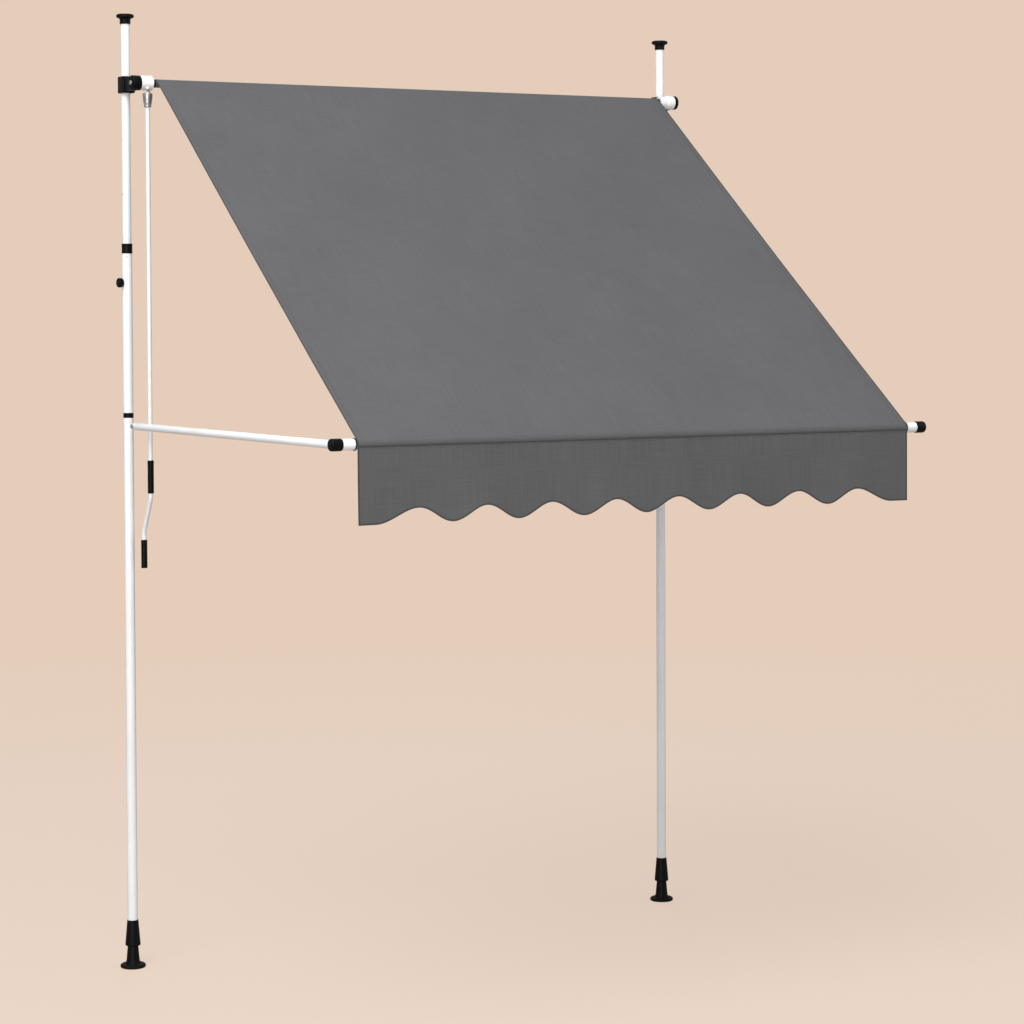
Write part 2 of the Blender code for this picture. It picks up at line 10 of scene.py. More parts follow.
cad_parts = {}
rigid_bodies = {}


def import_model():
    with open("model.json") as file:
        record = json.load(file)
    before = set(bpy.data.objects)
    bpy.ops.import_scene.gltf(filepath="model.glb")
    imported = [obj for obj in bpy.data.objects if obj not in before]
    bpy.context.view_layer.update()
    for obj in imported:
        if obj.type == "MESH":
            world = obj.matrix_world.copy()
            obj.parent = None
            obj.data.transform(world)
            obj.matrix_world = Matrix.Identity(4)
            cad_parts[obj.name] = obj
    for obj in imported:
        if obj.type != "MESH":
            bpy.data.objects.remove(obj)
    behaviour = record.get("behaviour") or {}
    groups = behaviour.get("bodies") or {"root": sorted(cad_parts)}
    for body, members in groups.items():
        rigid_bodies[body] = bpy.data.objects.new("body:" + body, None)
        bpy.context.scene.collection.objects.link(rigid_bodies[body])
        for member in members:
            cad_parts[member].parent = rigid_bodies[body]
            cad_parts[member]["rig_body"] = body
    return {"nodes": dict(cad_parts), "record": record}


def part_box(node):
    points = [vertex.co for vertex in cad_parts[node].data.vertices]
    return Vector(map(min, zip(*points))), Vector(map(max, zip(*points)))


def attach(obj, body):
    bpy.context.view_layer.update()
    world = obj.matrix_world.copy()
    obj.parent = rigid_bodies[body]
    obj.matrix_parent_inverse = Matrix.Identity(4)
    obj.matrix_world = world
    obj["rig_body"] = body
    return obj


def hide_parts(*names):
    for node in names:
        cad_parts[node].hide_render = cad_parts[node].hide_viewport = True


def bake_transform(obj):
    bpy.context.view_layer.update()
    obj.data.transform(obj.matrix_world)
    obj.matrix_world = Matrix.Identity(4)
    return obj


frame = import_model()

MM = 0.001
# Turns a prism along Z so that it runs along X and its outline is drawn in (Y, Z)
YZ_TO_X = Matrix(((0, 0, 1, 0), (1, 0, 0, 0), (0, 1, 0, 0), (0, 0, 0, 1)))
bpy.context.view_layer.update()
NODES = frame["nodes"]
SLOT_OF = {s["node"]: s["material_slot"] for s in frame["record"]["subparts"]}
SIDES = ((-1, "left"), (1, "right"))

# Camera: a longish lens, low and to the left of the front
CAMERA_PLACE = (-3.5149, -6.2041, 1.7027)
CAMERA_YAW = 29.455
CAMERA_PITCH = -1.913
CAMERA_ROLL = -0.235
LENS = 99.41
SENSOR = 36.0
LENS_RISE = -0.1094

FINE = 64  # sides of a tube
COARSE = 40  # sides of a small turned piece


def linear(hex_colour):
    """sRGB hex to linear values."""
    values = [int(hex_colour[i : i + 2], 16) / 255 for i in (0, 2, 4)]
    return [v / 12.92 if v <= 0.04045 else ((v + 0.055) / 1.055) ** 2.4 for v in values]


def node(tree, kind, settings=None, **inputs):
    """Adds a node, sets its properties, and fills each input with a value or links it to a socket."""
    made = tree.nodes.new(kind)
    for key, value in (settings or {}).items():
        setattr(made, key, value)
    for key, value in inputs.items():
        socket = made.inputs[int(key[1:])] if key[0] == "i" and key[1:].isdigit() else made.inputs[
            key.replace("_", " ")
        ]
        if isinstance(value, bpy.types.NodeSocket):
            tree.links.new(value, socket)
        else:
            socket.default_value = value
    return made


def blank(name):
    """A new material with only its shader and output."""
    made = bpy.data.materials.new(name)
    made.use_nodes = True
    return made, made.node_tree, made.node_tree.nodes["Principled BSDF"]


def object_pattern(tree, size_mm, stretch=(1, 1, 1)):
    """Object coordinates scaled so that one unit is a real size."""
    place = node(tree, "ShaderNodeTexCoord")
    scale = [1000 / size_mm / s for s in stretch]
    return node(tree, "ShaderNodeMapping", Vector=place.outputs["Object"], Scale=scale).outputs[0]


def mixed(tree, factor, low, high, from_low=0.3, from_high=0.7):
    """Two colours mixed by a pattern's value."""
    ramp = node(tree, "ShaderNodeMapRange", None, Value=factor, From_Min=from_low, From_Max=from_high)
    mix = node(tree, "ShaderNodeMix", {"data_type": "RGBA"}, i0=ramp.outputs[0])
    mix.inputs[6].default_value = (*linear(low), 1)
    mix.inputs[7].default_value = (*linear(high), 1)
    return mix.outputs[2]


def ranged(tree, factor, low, high):
    """A pattern's value stretched to a range, such as a roughness."""
    return node(
        tree, "ShaderNodeMapRange", None, Value=factor, From_Min=0.3, From_Max=0.7, To_Min=low, To_Max=high
    ).outputs[0]


def noise(tree, vector, detail=3.0, roughness=0.55):
    return node(
        tree, "ShaderNodeTexNoise", None, Vector=vector, Scale=1.0, Detail=detail, Roughness=roughness
    ).outputs[0]


def bumped(tree, shader, height, depth_mm, strength):
    bump = node(tree, "ShaderNodeBump", None, Height=height, Distance=depth_mm * MM, Strength=strength)
    tree.links.new(bump.outputs[0], shader.inputs["Normal"])


def white_powder_coat():
    """Polyester powder coat on steel tube: satin, with a faint orange peel and slightly uneven gloss."""
    made, tree, shader = blank("white_powder_coat")
    peel = noise(tree, object_pattern(tree, 2.2), 2.0)
    cloud = noise(tree, object_pattern(tree, 60, (1, 1, 3)), 3.0)
    tree.links.new(mixed(tree, cloud, "F4F4F3", "FBFBFA"), shader.inputs["Base Color"])
    tree.links.new(ranged(tree, cloud, 0.30, 0.40), shader.inputs["Roughness"])
    shader.inputs["Coat Weight"].default_value = 0.15
    shader.inputs["Coat Roughness"].default_value = 0.2
    bumped(tree, shader, peel, 0.04, 0.35)
    return made


def white_moulding():
    """White ABS housing: smooth from the tool, with faint flow clouding."""
    made, tree, shader = blank("white_moulding")
    cloud = noise(tree, object_pattern(tree, 14), 4.0)
    tree.links.new(mixed(tree, cloud, "F3F3F0", "FAFAF8"), shader.inputs["Base Color"])
    tree.links.new(ranged(tree, cloud, 0.24, 0.33), shader.inputs["Roughness"])
    shader.inputs["IOR"].default_value = 1.53
    bumped(tree, shader, noise(tree, object_pattern(tree, 1.4), 2.0), 0.02, 0.3)
    return made


def black_moulding():
    """Black glass-filled nylon with a spark-eroded grain that scatters the highlights."""
    made, tree, shader = blank("black_moulding")
    grain = noise(tree, object_pattern(tree, 0.9), 3.0, 0.7)
    cloud = noise(tree, object_pattern(tree, 12), 3.0)
    tree.links.new(mixed(tree, cloud, "040405", "0A0A0B"), shader.inputs["Base Color"])
    tree.links.new(ranged(tree, grain, 0.40, 0.55), shader.inputs["Roughness"])
    shader.inputs["Specular IOR Level"].default_value = 0.14
    bumped(tree, shader, grain, 0.08, 0.5)
    return made


def black_oxide():
    """Screws with a black oxide finish, slightly oily."""
    made, tree, shader = blank("black_oxide")
    film = noise(tree, object_pattern(tree, 3), 3.0)
    tree.links.new(mixed(tree, film, "1A1A1A", "2A2A2B"), shader.inputs["Base Color"])
    tree.links.new(ranged(tree, film, 0.3, 0.45), shader.inputs["Roughness"])
    shader.inputs["Metallic"].default_value = 0.8
    return made


def foot_rubber():
    """Moulded black rubber, dull and a little dusty."""
    made, tree, shader = blank("foot_rubber")
    dust = noise(tree, object_pattern(tree, 6), 5.0, 0.65)
    tree.links.new(mixed(tree, dust, "080808", "141312", 0.35, 0.8), shader.inputs["Base Color"])
    tree.links.new(ranged(tree, dust, 0.62, 0.85), shader.inputs["Roughness"])
    shader.inputs["Specular IOR Level"].default_value = 0.16
    bumped(tree, shader, noise(tree, object_pattern(tree, 0.8), 2.0), 0.06, 0.5)
    return made


def zinc_plate():
    """Zinc-plated steel: dull grey with soft spangle and fine drawn lines."""
    made, tree, shader = blank("zinc_plate")
    spangle = noise(tree, object_pattern(tree, 5), 4.0)
    lines = noise(tree, object_pattern(tree, 0.5, (1, 1, 30)), 2.0)
    tree.links.new(mixed(tree, spangle, "A9A9A8", "D2D2D0"), shader.inputs["Base Color"])
    tree.links.new(ranged(tree, lines, 0.30, 0.5), shader.inputs["Roughness"])
    shader.inputs["Metallic"].default_value = 1.0
    bumped(tree, shader, lines, 0.03, 0.4)
    return made


def woven(name, dark, light, thread_mm=1.5):
    """Plain-woven polyester canvas. Real threads are 0.4 mm apart; they are drawn wider so they show."""
    made, tree, shader = blank(name)
    uv = node(tree, "ShaderNodeTexCoord").outputs["UV"]
    turns = 1000 / thread_mm / 2
    heights = []
    for direction, offset in (("X", 0.0), ("Y", math.pi / 2)):
        wave = node(
            tree,
            "ShaderNodeTexWave",
            {"wave_type": "BANDS", "bands_direction": direction, "wave_profile": "SIN"},
            Vector=uv,
            Scale=turns / math.pi,
            Distortion=0.6,
            Detail=2.0,
            Detail_Scale=0.4,
            Phase_Offset=offset,
        )
        heights.append(wave.outputs[1])
    weave = node(tree, "ShaderNodeMath", {"operation": "MULTIPLY"}, i0=heights[0], i1=heights[1]).outputs[0]
    # Slubs: thicker stretches of single threads, long along the cloth and across it
    streaks = []
    for scale in ((260, 9, 1), (11, 320, 1)):
        stretched = node(tree, "ShaderNodeMapping", None, Vector=uv, Scale=scale).outputs[0]
        streaks.append(noise(tree, stretched, 3.0, 0.6))
    slub = node(tree, "ShaderNodeMath", {"operation": "ADD"}, i0=streaks[0], i1=streaks[1]).outputs[0]
    slub = node(tree, "ShaderNodeMath", {"operation": "MULTIPLY"}, i0=slub, i1=0.5).outputs[0]
    broad = noise(tree, node(tree, "ShaderNodeMapping", None, Vector=uv, Scale=(3, 3, 3)).outputs[0], 3.0)
    tone = node(tree, "ShaderNodeMath", {"operation": "MULTIPLY_ADD"}, i0=broad, i1=0.35, i2=slub).outputs[0]
    tone = node(tree, "ShaderNodeMath", {"operation": "MULTIPLY_ADD"}, i0=weave, i1=0.12, i2=tone).outputs[0]
    tree.links.new(mixed(tree, tone, dark, light, 0.48, 0.88), shader.inputs["Base Color"])
    tree.links.new(ranged(tree, slub, 0.86, 0.94), shader.inputs["Roughness"])
    shader.inputs["Specular IOR Level"].default_value = 0.25
    shader.inputs["Sheen Weight"].default_value = 0.12
    shader.inputs["Sheen Roughness"].default_value = 0.5
    added = {"operation": "MULTIPLY_ADD"}
    relief = node(tree, "ShaderNodeMath", added, i0=slub, i1=0.6, i2=weave).outputs[0]
    bumped(tree, shader, relief, 0.25, 0.5)
    return made


def floor_paint():
    """Matt pale floor."""
    made, tree, shader = blank("floor_paint")
    shader.inputs["Base Color"].default_value = (*linear(FLOOR_TONE), 1)
    shader.inputs["Roughness"].default_value = 0.9
    shader.inputs["Specular IOR Level"].default_value = 0.1
    # Near the object a little of its shadow shows, and far away it turns into the plain tone of the wall
    place = node(tree, "ShaderNodeTexCoord").outputs["Object"]
    reach = node(tree, "ShaderNodeVectorMath", {"operation": "LENGTH"}, i0=place).outputs[1]
    eased = {"interpolation_type": "SMOOTHSTEP"}
    far = node(tree, "ShaderNodeMapRange", eased, Value=reach, From_Min=1.5, From_Max=9.0).outputs[0]
    glow = node(tree, "ShaderNodeMix", {"data_type": "RGBA"}, i0=far)
    glow.inputs[6].default_value = (*linear(GLOW_TONE), 1)
    glow.inputs[7].default_value = (*linear(WALL_TONE), 1)
    # What it throws back on the object is plain grey, as from a white studio
    ray = node(tree, "ShaderNodeLightPath").outputs["Is Camera Ray"]
    tone = node(tree, "ShaderNodeMix", {"data_type": "RGBA"}, i0=ray, i7=glow.outputs[2])
    tone.inputs[6].default_value = (*linear(BOUNCE_TONE), 1)
    plain = node(tree, "ShaderNodeEmission", None, Color=tone.outputs[2])
    share = node(tree, "ShaderNodeMapRange", None, Value=far, To_Min=0.74)
    surfaces = {"i1": shader.outputs[0], "i2": plain.outputs[0]}
    both = node(tree, "ShaderNodeMixShader", None, i0=share.outputs[0], **surfaces)
    tree.links.new(both.outputs[0], tree.nodes["Material Output"].inputs["Surface"])
    return made


WALL_TONE = "E5CDBA"
FLOOR_TONE = "E9D6C6"
GLOW_TONE = "EAD5C5"
BOUNCE_TONE = "8B8D90"
AIR_TONE = "ACADB0"

FINISH = {
    "white_enamel": white_powder_coat(),
    "white_plastic": white_moulding(),
    "black_plastic": black_moulding(),
    "rubber": foot_rubber(),
    "zinc_steel": zinc_plate(),
    "canvas": woven("grey_canvas", "545455", "626263"),
}
OXIDE = black_oxide()
# Dark binding cloth of the bound edges; the same cloth also paints the seam's shadow line along the valance
# top
BINDING_AND_SEAM_SHADE = woven("dark_binding_and_seam_shade", "424242", "4C4C4C", 1.0)
THREAD = woven("grey_thread", "58585A", "6A6A6C", 0.6)


# ---------------------------------------------------------------- shaping


def rounded(points, steps=5):
    """Outline points (a, b, radius) with each corner turned into an arc."""
    outline = []
    count = len(points)
    for i, (a, b, radius) in enumerate(points):
        corner = Vector((a, b))
        if radius <= 0:
            outline.append(corner)
            continue
        before = (Vector(points[i - 1][:2]) - corner).normalized()
        after = (Vector(points[(i + 1) % count][:2]) - corner).normalized()
        half = before.angle(after) / 2
        reach = radius / math.tan(half)
        centre = corner + (before + after).normalized() * (radius / math.sin(half))
        start, end = corner + before * reach - centre, corner + after * reach - centre
        for k in range(steps + 1):
            spoke = start.lerp(end, k / steps)
            outline.append(centre + spoke.normalized() * radius)
    return outline


def lathe(profile, sides=COARSE, flutes=None):
    """Spins a profile of (radius, height, fillet) round Z.

    flutes = (count, depth, low, high) scallops it.
    """
    bm = bmesh.new()
    outline = rounded(profile)
    points = [bm.verts.new((p.x, 0, p.y)) for p in outline]
    for a, b in zip(points, points[1:] + points[:1]):
        if a.co.x > 1e-6 or b.co.x > 1e-6:
            bm.edges.new((a, b))
    bmesh.ops.spin(
        bm, geom=bm.verts[:] + bm.edges[:], angle=math.tau, steps=sides, axis=(0, 0, 1), use_merge=True
    )
    bmesh.ops.remove_doubles(bm, verts=bm.verts, dist=2e-6)
    if flutes:
        count, depth, low, high = flutes
        for v in bm.verts:
            if low <= v.co.z <= high:
                turn = math.atan2(v.co.y, v.co.x)
                v.co.xy *= 1 - depth * (0.5 + 0.5 * math.cos(count * turn))
    bmesh.ops.recalc_face_normals(bm, faces=bm.faces)
    return bm


def prism(outline, low, high, bevel=0.0):
    """An outline extruded along Z with its edges rounded."""
    bm = bmesh.new()
    face = bm.faces.new([bm.verts.new((p[0], p[1], low)) for p in outline])
    raised = bmesh.ops.extrude_face_region(bm, geom=[face])
    top = [g for g in raised["geom"] if isinstance(g, bmesh.types.BMVert)]
    bmesh.ops.translate(bm, vec=(0, 0, high - low), verts=top)
    bmesh.ops.recalc_face_normals(bm, faces=bm.faces)
    if bevel:
        rims = [e for e in bm.edges if abs(e.verts[0].co.z - e.verts[1].co.z) < 1e-7]
        bmesh.ops.bevel(
            bm,
            geom=rims,
            offset=bevel,
            offset_type="OFFSET",
            segments=3,
            profile=0.5,
            affect="EDGES",
            material=-1,
        )
    return bm


def solid(name, bm, finish, at=(0, 0, 0), towards=(0, 0, 1), sharp=32):
    """Turns local Z towards a direction, moves it to its place in its mesh, and makes the object."""
    turn = Vector((0, 0, 1)).rotation_difference(Vector(towards)).to_matrix().to_4x4()
    bmesh.ops.transform(bm, matrix=Matrix.Translation(at) @ turn, verts=bm.verts)
    mesh = bpy.data.meshes.new(name)
    bm.to_mesh(mesh)
    bm.free()
    mesh.shade_smooth()
    mesh.set_sharp_from_angle(angle=math.radians(sharp))
    mesh.materials.append(finish)
    obj = bpy.data.objects.new(name, mesh)
    bpy.context.scene.collection.objects.link(obj)
    return obj


def combined(obj, tool, operation):
    """Boolean with a helper piece, applied at once, and the helper removed."""
    step = obj.modifiers.new("join", "BOOLEAN")
    step.object = tool
    step.operation = operation
    step.solver = "EXACT"
    graph = bpy.context.evaluated_depsgraph_get()
    finish = obj.data.materials[0]
    mesh = bpy.data.meshes.new_from_object(obj.evaluated_get(graph))
    obj.modifiers.clear()
    obj.data = mesh
    mesh.materials.clear()
    mesh.materials.append(finish)
    mesh.shade_smooth()
    mesh.set_sharp_from_angle(angle=math.radians(32))
    bpy.data.objects.remove(tool)
    return obj


def drilled(obj, radius, length, at, towards, sides=24):
    """A round hole through a piece, centred at a point."""
    half = length / 2
    tool = solid("drill", lathe([(0, -half, 0), (radius, -half, 0), (radius, half, 0), (0, half, 0)], sides),
                 obj.data.materials[0], at, towards)
    return combined(obj, tool, "DIFFERENCE")


def stands_for(piece, *nodes):
    """The piece rides on the nodes' body and hides them."""
    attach(piece, NODES[nodes[0]]["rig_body"])
    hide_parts(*nodes)
    return piece


def rides_with(piece, node_name):
    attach(piece, NODES[node_name]["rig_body"])
    return piece


def middle(node_name):
    low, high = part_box(node_name)
    return (low + high) / 2


def span(node_name, axis):
    """(low end, high end, radius) of a round node that lies along an axis."""
    low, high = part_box(node_name)
    across = (axis + 1) % 3
    return low[axis], high[axis], (high[across] - low[across]) / 2


def finish_of(node_name):
    return FINISH[SLOT_OF[node_name]]


# ---------------------------------------------------------------- posts


def tube(node_name, axis, wall, sides=FINE):
    """A drawn tube with softened rims, in the place of its node."""
    low, high, radius = span(node_name, axis)
    rim = wall * 0.45
    profile = [
        (radius, low, rim),
        (radius, high, rim),
        (radius - wall, high, rim),
        (radius - wall, low, rim),
    ]
    at = middle(node_name)
    at[axis] = 0
    return solid(node_name + "_tube", lathe(profile, sides), finish_of(node_name), at, unit(axis))


def unit(axis, sign=1):
    return Vector([sign if k == axis else 0 for k in range(3)])


def posts():
    for side, name in SIDES:
        lower = f"{name}_lower_tube"
        stands_for(tube(lower, 2, 1.2 * MM), lower)
        upper = f"{name}_upper_tube"
        radius = span(upper, 2)[2]
        piece = tube(upper, 2, 1.0 * MM)
        centre = middle(upper)
        for height in index_heights(name):
            hole_at = Vector((centre.x + side * radius, centre.y, height))
            drilled(piece, 2.7 * MM, 8 * MM, hole_at, (1, 0, 0))
        stands_for(piece, upper)
        collar(name)
        collar_pin(side, name)
        lock_knob(side, name)
        foot(name)
        head_cap(name)


def index_heights(name):
    """Heights of the index holes above the collar, spread as on the real tube."""
    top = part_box(f"{name}_collar")[1].z
    return [top + rise for rise in (0.015, 0.125, 0.265)]


def collar(name):
    node_name = f"{name}_collar"
    low, high, radius = span(node_name, 2)
    inner = radius - 2.25 * MM
    grip = 0.5 * MM
    profile = [(inner, low, 0), (radius, low, 0.5 * MM), (radius, low + 5 * MM, 0.3 * MM)]
    for k in range(3):
        base = low + (6 + 5 * k) * MM
        profile += [
            (radius - grip, base, 0.2 * MM),
            (radius - grip, base + 1.4 * MM, 0.2 * MM),
            (radius, base + 2 * MM, 0.2 * MM),
            (radius, base + 4.2 * MM, 0.2 * MM),
        ]
    profile += [(radius - 0.3 * MM, high, 1.0 * MM), (inner, high, 0.3 * MM)]
    centre = middle(node_name)
    piece = solid(f"{name}_post_collar", lathe(profile), finish_of(node_name), (centre.x, centre.y, 0))
    stands_for(piece, node_name)


def collar_pin(side, name):
    """Moulded pip of the collar that snaps through the lower tube."""
    x, y = middle(f"{name}_lower_tube").xy
    high, radius = span(f"{name}_lower_tube", 2)[1:]
    lift = 0.5 * MM
    profile = [
        (0, radius - lift, 0),
        (1.3 * MM, radius - lift, 0),
        (1.3 * MM, radius + lift, 0.4 * MM),
        (0, radius + lift, 0),
    ]
    at = (x, y, high - 9 * MM)
    way = (side * 0.45, -0.89, 0)
    pip = solid(f"{name}_collar_pip", lathe(profile, 20), FINISH["black_plastic"], at, way)
    rides_with(pip, f"{name}_collar")


def lock_knob(side, name):
    node_name = f"{name}_lock_knob"
    low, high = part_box(node_name)
    centre = middle(node_name)
    post = middle(f"{name}_lower_tube").x
    start = min(abs(low.x - post), abs(high.x - post))
    end = max(abs(low.x - post), abs(high.x - post))
    head = (high.z - low.z) / 2
    profile = [
        (0, start, 0),
        (3 * MM, start, 0),
        (3 * MM, start + 1.6 * MM, 0),
        (10.6 * MM, start + 1.6 * MM, 0.6 * MM),
        (11 * MM, start + 4.2 * MM, 0.5 * MM),
        (head - 0.6 * MM, start + 4.8 * MM, 0.8 * MM),
        (head, start + 7 * MM, 1.0 * MM),
        (head, end - 2.5 * MM, 1.6 * MM),
        (head - 3.5 * MM, end, 1.0 * MM),
        (head - 5 * MM, end - 1 * MM, 0.4 * MM),
        (0, end - 1 * MM, 0),
    ]
    bm = lathe(profile, 96, (12, 0.08, start + 6.5 * MM, end - 0.5 * MM))
    at = (post, centre.y, centre.z)
    stands_for(solid(f"{name}_lock_grip", bm, finish_of(node_name), at, (side, 0, 0)), node_name)


def foot(name):
    pad, cone, sleeve = (f"{name}_foot_{part}" for part in ("pad", "cone", "sleeve"))
    centre = middle(pad)
    at = (centre.x, centre.y, 0)
    low, high, radius = span(pad, 2)
    pad_profile = [
        (0, low, 0),
        (radius - 2.5 * MM, low, 0.4 * MM),
        (radius, low + 2 * MM, 1.2 * MM),
        (radius, high - 3 * MM, 1.5 * MM),
        (radius - 4 * MM, high, 2.0 * MM),
        (22 * MM, high, 1.0 * MM),
        (20 * MM, high - 1.2 * MM, 0.5 * MM),
        (0, high - 1.2 * MM, 0),
    ]
    stands_for(solid(f"{name}_rubber_pad", lathe(pad_profile, FINE), finish_of(pad), at), pad)
    low, high, radius = span(cone, 2)
    cone_profile = [
        (6.3 * MM, low - 1 * MM, 0),
        (radius + 2.0 * MM, low - 1 * MM, 0.3 * MM),
        (radius + 1.2 * MM, low + 1.5 * MM, 1.2 * MM),
        (radius - 0.6 * MM, low + 9 * MM, 9 * MM),
        (13.6 * MM, high, 0.3 * MM),
        (6.3 * MM, high, 0),
    ]
    stands_for(solid(f"{name}_tapered_foot", lathe(cone_profile, FINE), finish_of(cone), at), cone)
    low, high, radius = span(sleeve, 2)
    inner = 13.05 * MM
    sleeve_profile = [
        (6.6 * MM, low, 0),
        (14.8 * MM, low, 0.3 * MM),
        (radius - 0.6 * MM, low + 1 * MM, 0.8 * MM),
        (radius + 0.2 * MM, low + 3.5 * MM, 1.0 * MM),
        (14.3 * MM, high, 0.6 * MM),
        (inner, high, 0.2 * MM),
        (inner, low + 3.7 * MM, 0),
        (6.6 * MM, low + 3.7 * MM, 0),
    ]
    stands_for(solid(f"{name}_tapered_sleeve", lathe(sleeve_profile, FINE), finish_of(sleeve), at), sleeve)


def head_cap(name):
    node_name = f"{name}_head_cap"
    centre = middle(node_name)
    low, high, radius = span(node_name, 2)
    inner = 11.55 * MM
    neck = 13.75 * MM
    profile = [
        (inner, low, 0.2 * MM),
        (neck, low, 0.6 * MM),
        (neck, high - 12 * MM, 3.0 * MM),
        (radius - 3 * MM, high - 9.5 * MM, 1.5 * MM),
        (radius, high - 7.5 * MM, 1.8 * MM),
        (radius, high - 2.5 * MM, 2.0 * MM),
        (radius - 3 * MM, high, 1.2 * MM),
        (0, high, 0),
        (0, high - 10 * MM, 0),
        (inner, high - 10 * MM, 0),
    ]
    piece = solid(f"{name}_ceiling_cap", lathe(profile, FINE), finish_of(node_name), (centre.x, centre.y, 0))
    stands_for(piece, node_name)


# ---------------------------------------------------------------- clamps and fasteners


def pan_head(name, node_name, axis, sign, socket=2.4 * MM):
    """Plated screw with a domed head at its outer end and a hexagon socket."""
    low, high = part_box(node_name)
    centre = middle(node_name)
    across = (axis + 1) % 3
    radius = (high[across] - low[across]) / 2
    length = high[axis] - low[axis]
    head = min(4 * MM, length * 0.3)
    shank = radius * 0.5
    profile = [
        (0, 0, 0),
        (shank, 0, 0.2 * MM),
        (shank, length - head, 0),
        (radius, length - head, 0.3 * MM),
        (radius, length - head * 0.45, head * 0.3),
        (radius * 0.62, length, head * 0.3),
        (0, length, 0),
    ]
    start = centre.copy()
    start[axis] = low[axis] if sign > 0 else high[axis]
    way = unit(axis, sign)
    piece = solid(name, lathe(profile, 32), finish_of(node_name), start, way)
    tip = start + way * length
    hexagon = [(socket * math.cos(a), socket * math.sin(a)) for a in (math.tau * k / 6 for k in range(6))]
    tool = solid("key", prism(hexagon, -head * 0.55, head), finish_of(node_name), tip, way)
    return stands_for(combined(piece, tool, "DIFFERENCE"), node_name)


def softened(outline, low, high, radius_at, steps=5):
    """A prism whose rims are rounded by a radius that varies along its outline."""
    ends = list(zip(outline[-1:] + outline[:-1], outline[1:] + outline[:1]))
    winding = sum(a.cross(b) for a, b in zip(outline, outline[1:] + outline[:1]))
    inward = []
    for here, (before, after) in zip(outline, ends):
        along = ((here - before).normalized() + (after - here).normalized()).normalized()
        inward.append(Vector((-along.y, along.x)) * (1 if winding > 0 else -1))
    bm = bmesh.new()
    rings = []
    quarter = [math.pi / 2 * k / steps for k in range(steps + 1)]
    for end, way, angles in ((low, 1, quarter[::-1]), (high, -1, quarter)):
        for a in angles:
            made = []
            for here, normal in zip(outline, inward):
                radius = radius_at(here)
                spot = here + normal * radius * (1 - math.cos(a))
                made.append(bm.verts.new((spot.x, spot.y, end + way * radius * (1 - math.sin(a)))))
            rings.append(made)
    count = len(outline)
    for a, b in zip(rings, rings[1:]):
        for k in range(count):
            bm.faces.new((a[k], a[(k + 1) % count], b[(k + 1) % count], b[k]))
    bm.faces.new(rings[0])
    bm.faces.new(rings[-1])
    bmesh.ops.recalc_face_normals(bm, faces=bm.faces)
    return bm


def arm_clamp(side, name):
    """Moulded clamp: well rounded at its back, with a thin inner lug behind the arm."""
    node_name = f"{name}_arm_clamp"
    low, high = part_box(node_name)
    post = middle(f"{name}_lower_tube")
    inner = (low.x if side > 0 else high.x) - post.x
    outer = (high.x if side > 0 else low.x) - post.x
    back, front = high.y - post.y, low.y - post.y
    wall = -20 * MM
    lug = inner + side * 5.2 * MM
    corners = [
        (outer, back, 11 * MM),
        (outer, wall, 5 * MM),
        (lug, wall, 1.0 * MM),
        (lug, front, 1.2 * MM),
        (inner, front, 2.2 * MM),
        (inner, back, 11 * MM),
    ]

    def rim(spot):
        """Large at the back and the outer side, small at the lug."""
        share = min(1.0, max(0.0, (spot.y - wall) / (24 * MM)))
        return (1.3 + 6.7 * share * share * (3 - 2 * share)) * MM

    outline = rounded(corners, 8)
    finish = finish_of(node_name)
    body = solid(f"{name}_post_clamp", softened(outline, low.z, high.z, rim), finish, (post.x, post.y, 0))
    centre = (low.z + high.z) / 2
    drilled(body, 13.05 * MM, 60 * MM, (post.x, post.y, centre), (0, 0, 1), FINE)
    drilled(body, 4.5 * MM, 9 * MM, (post.x, high.y, centre), (0, 1, 0))
    bolt = middle(f"{name}_arm_bolt")
    drilled(body, 3.3 * MM, 14 * MM, (post.x + inner, bolt.y, bolt.z), (1, 0, 0))
    stands_for(body, node_name)
    pan_head(f"{name}_arm_clamp_key_screw", f"{name}_arm_clamp_screw", 1, 1, 1.2 * MM)
    pan_head(f"{name}_arm_hinge_bolt", f"{name}_arm_bolt", 0, side)


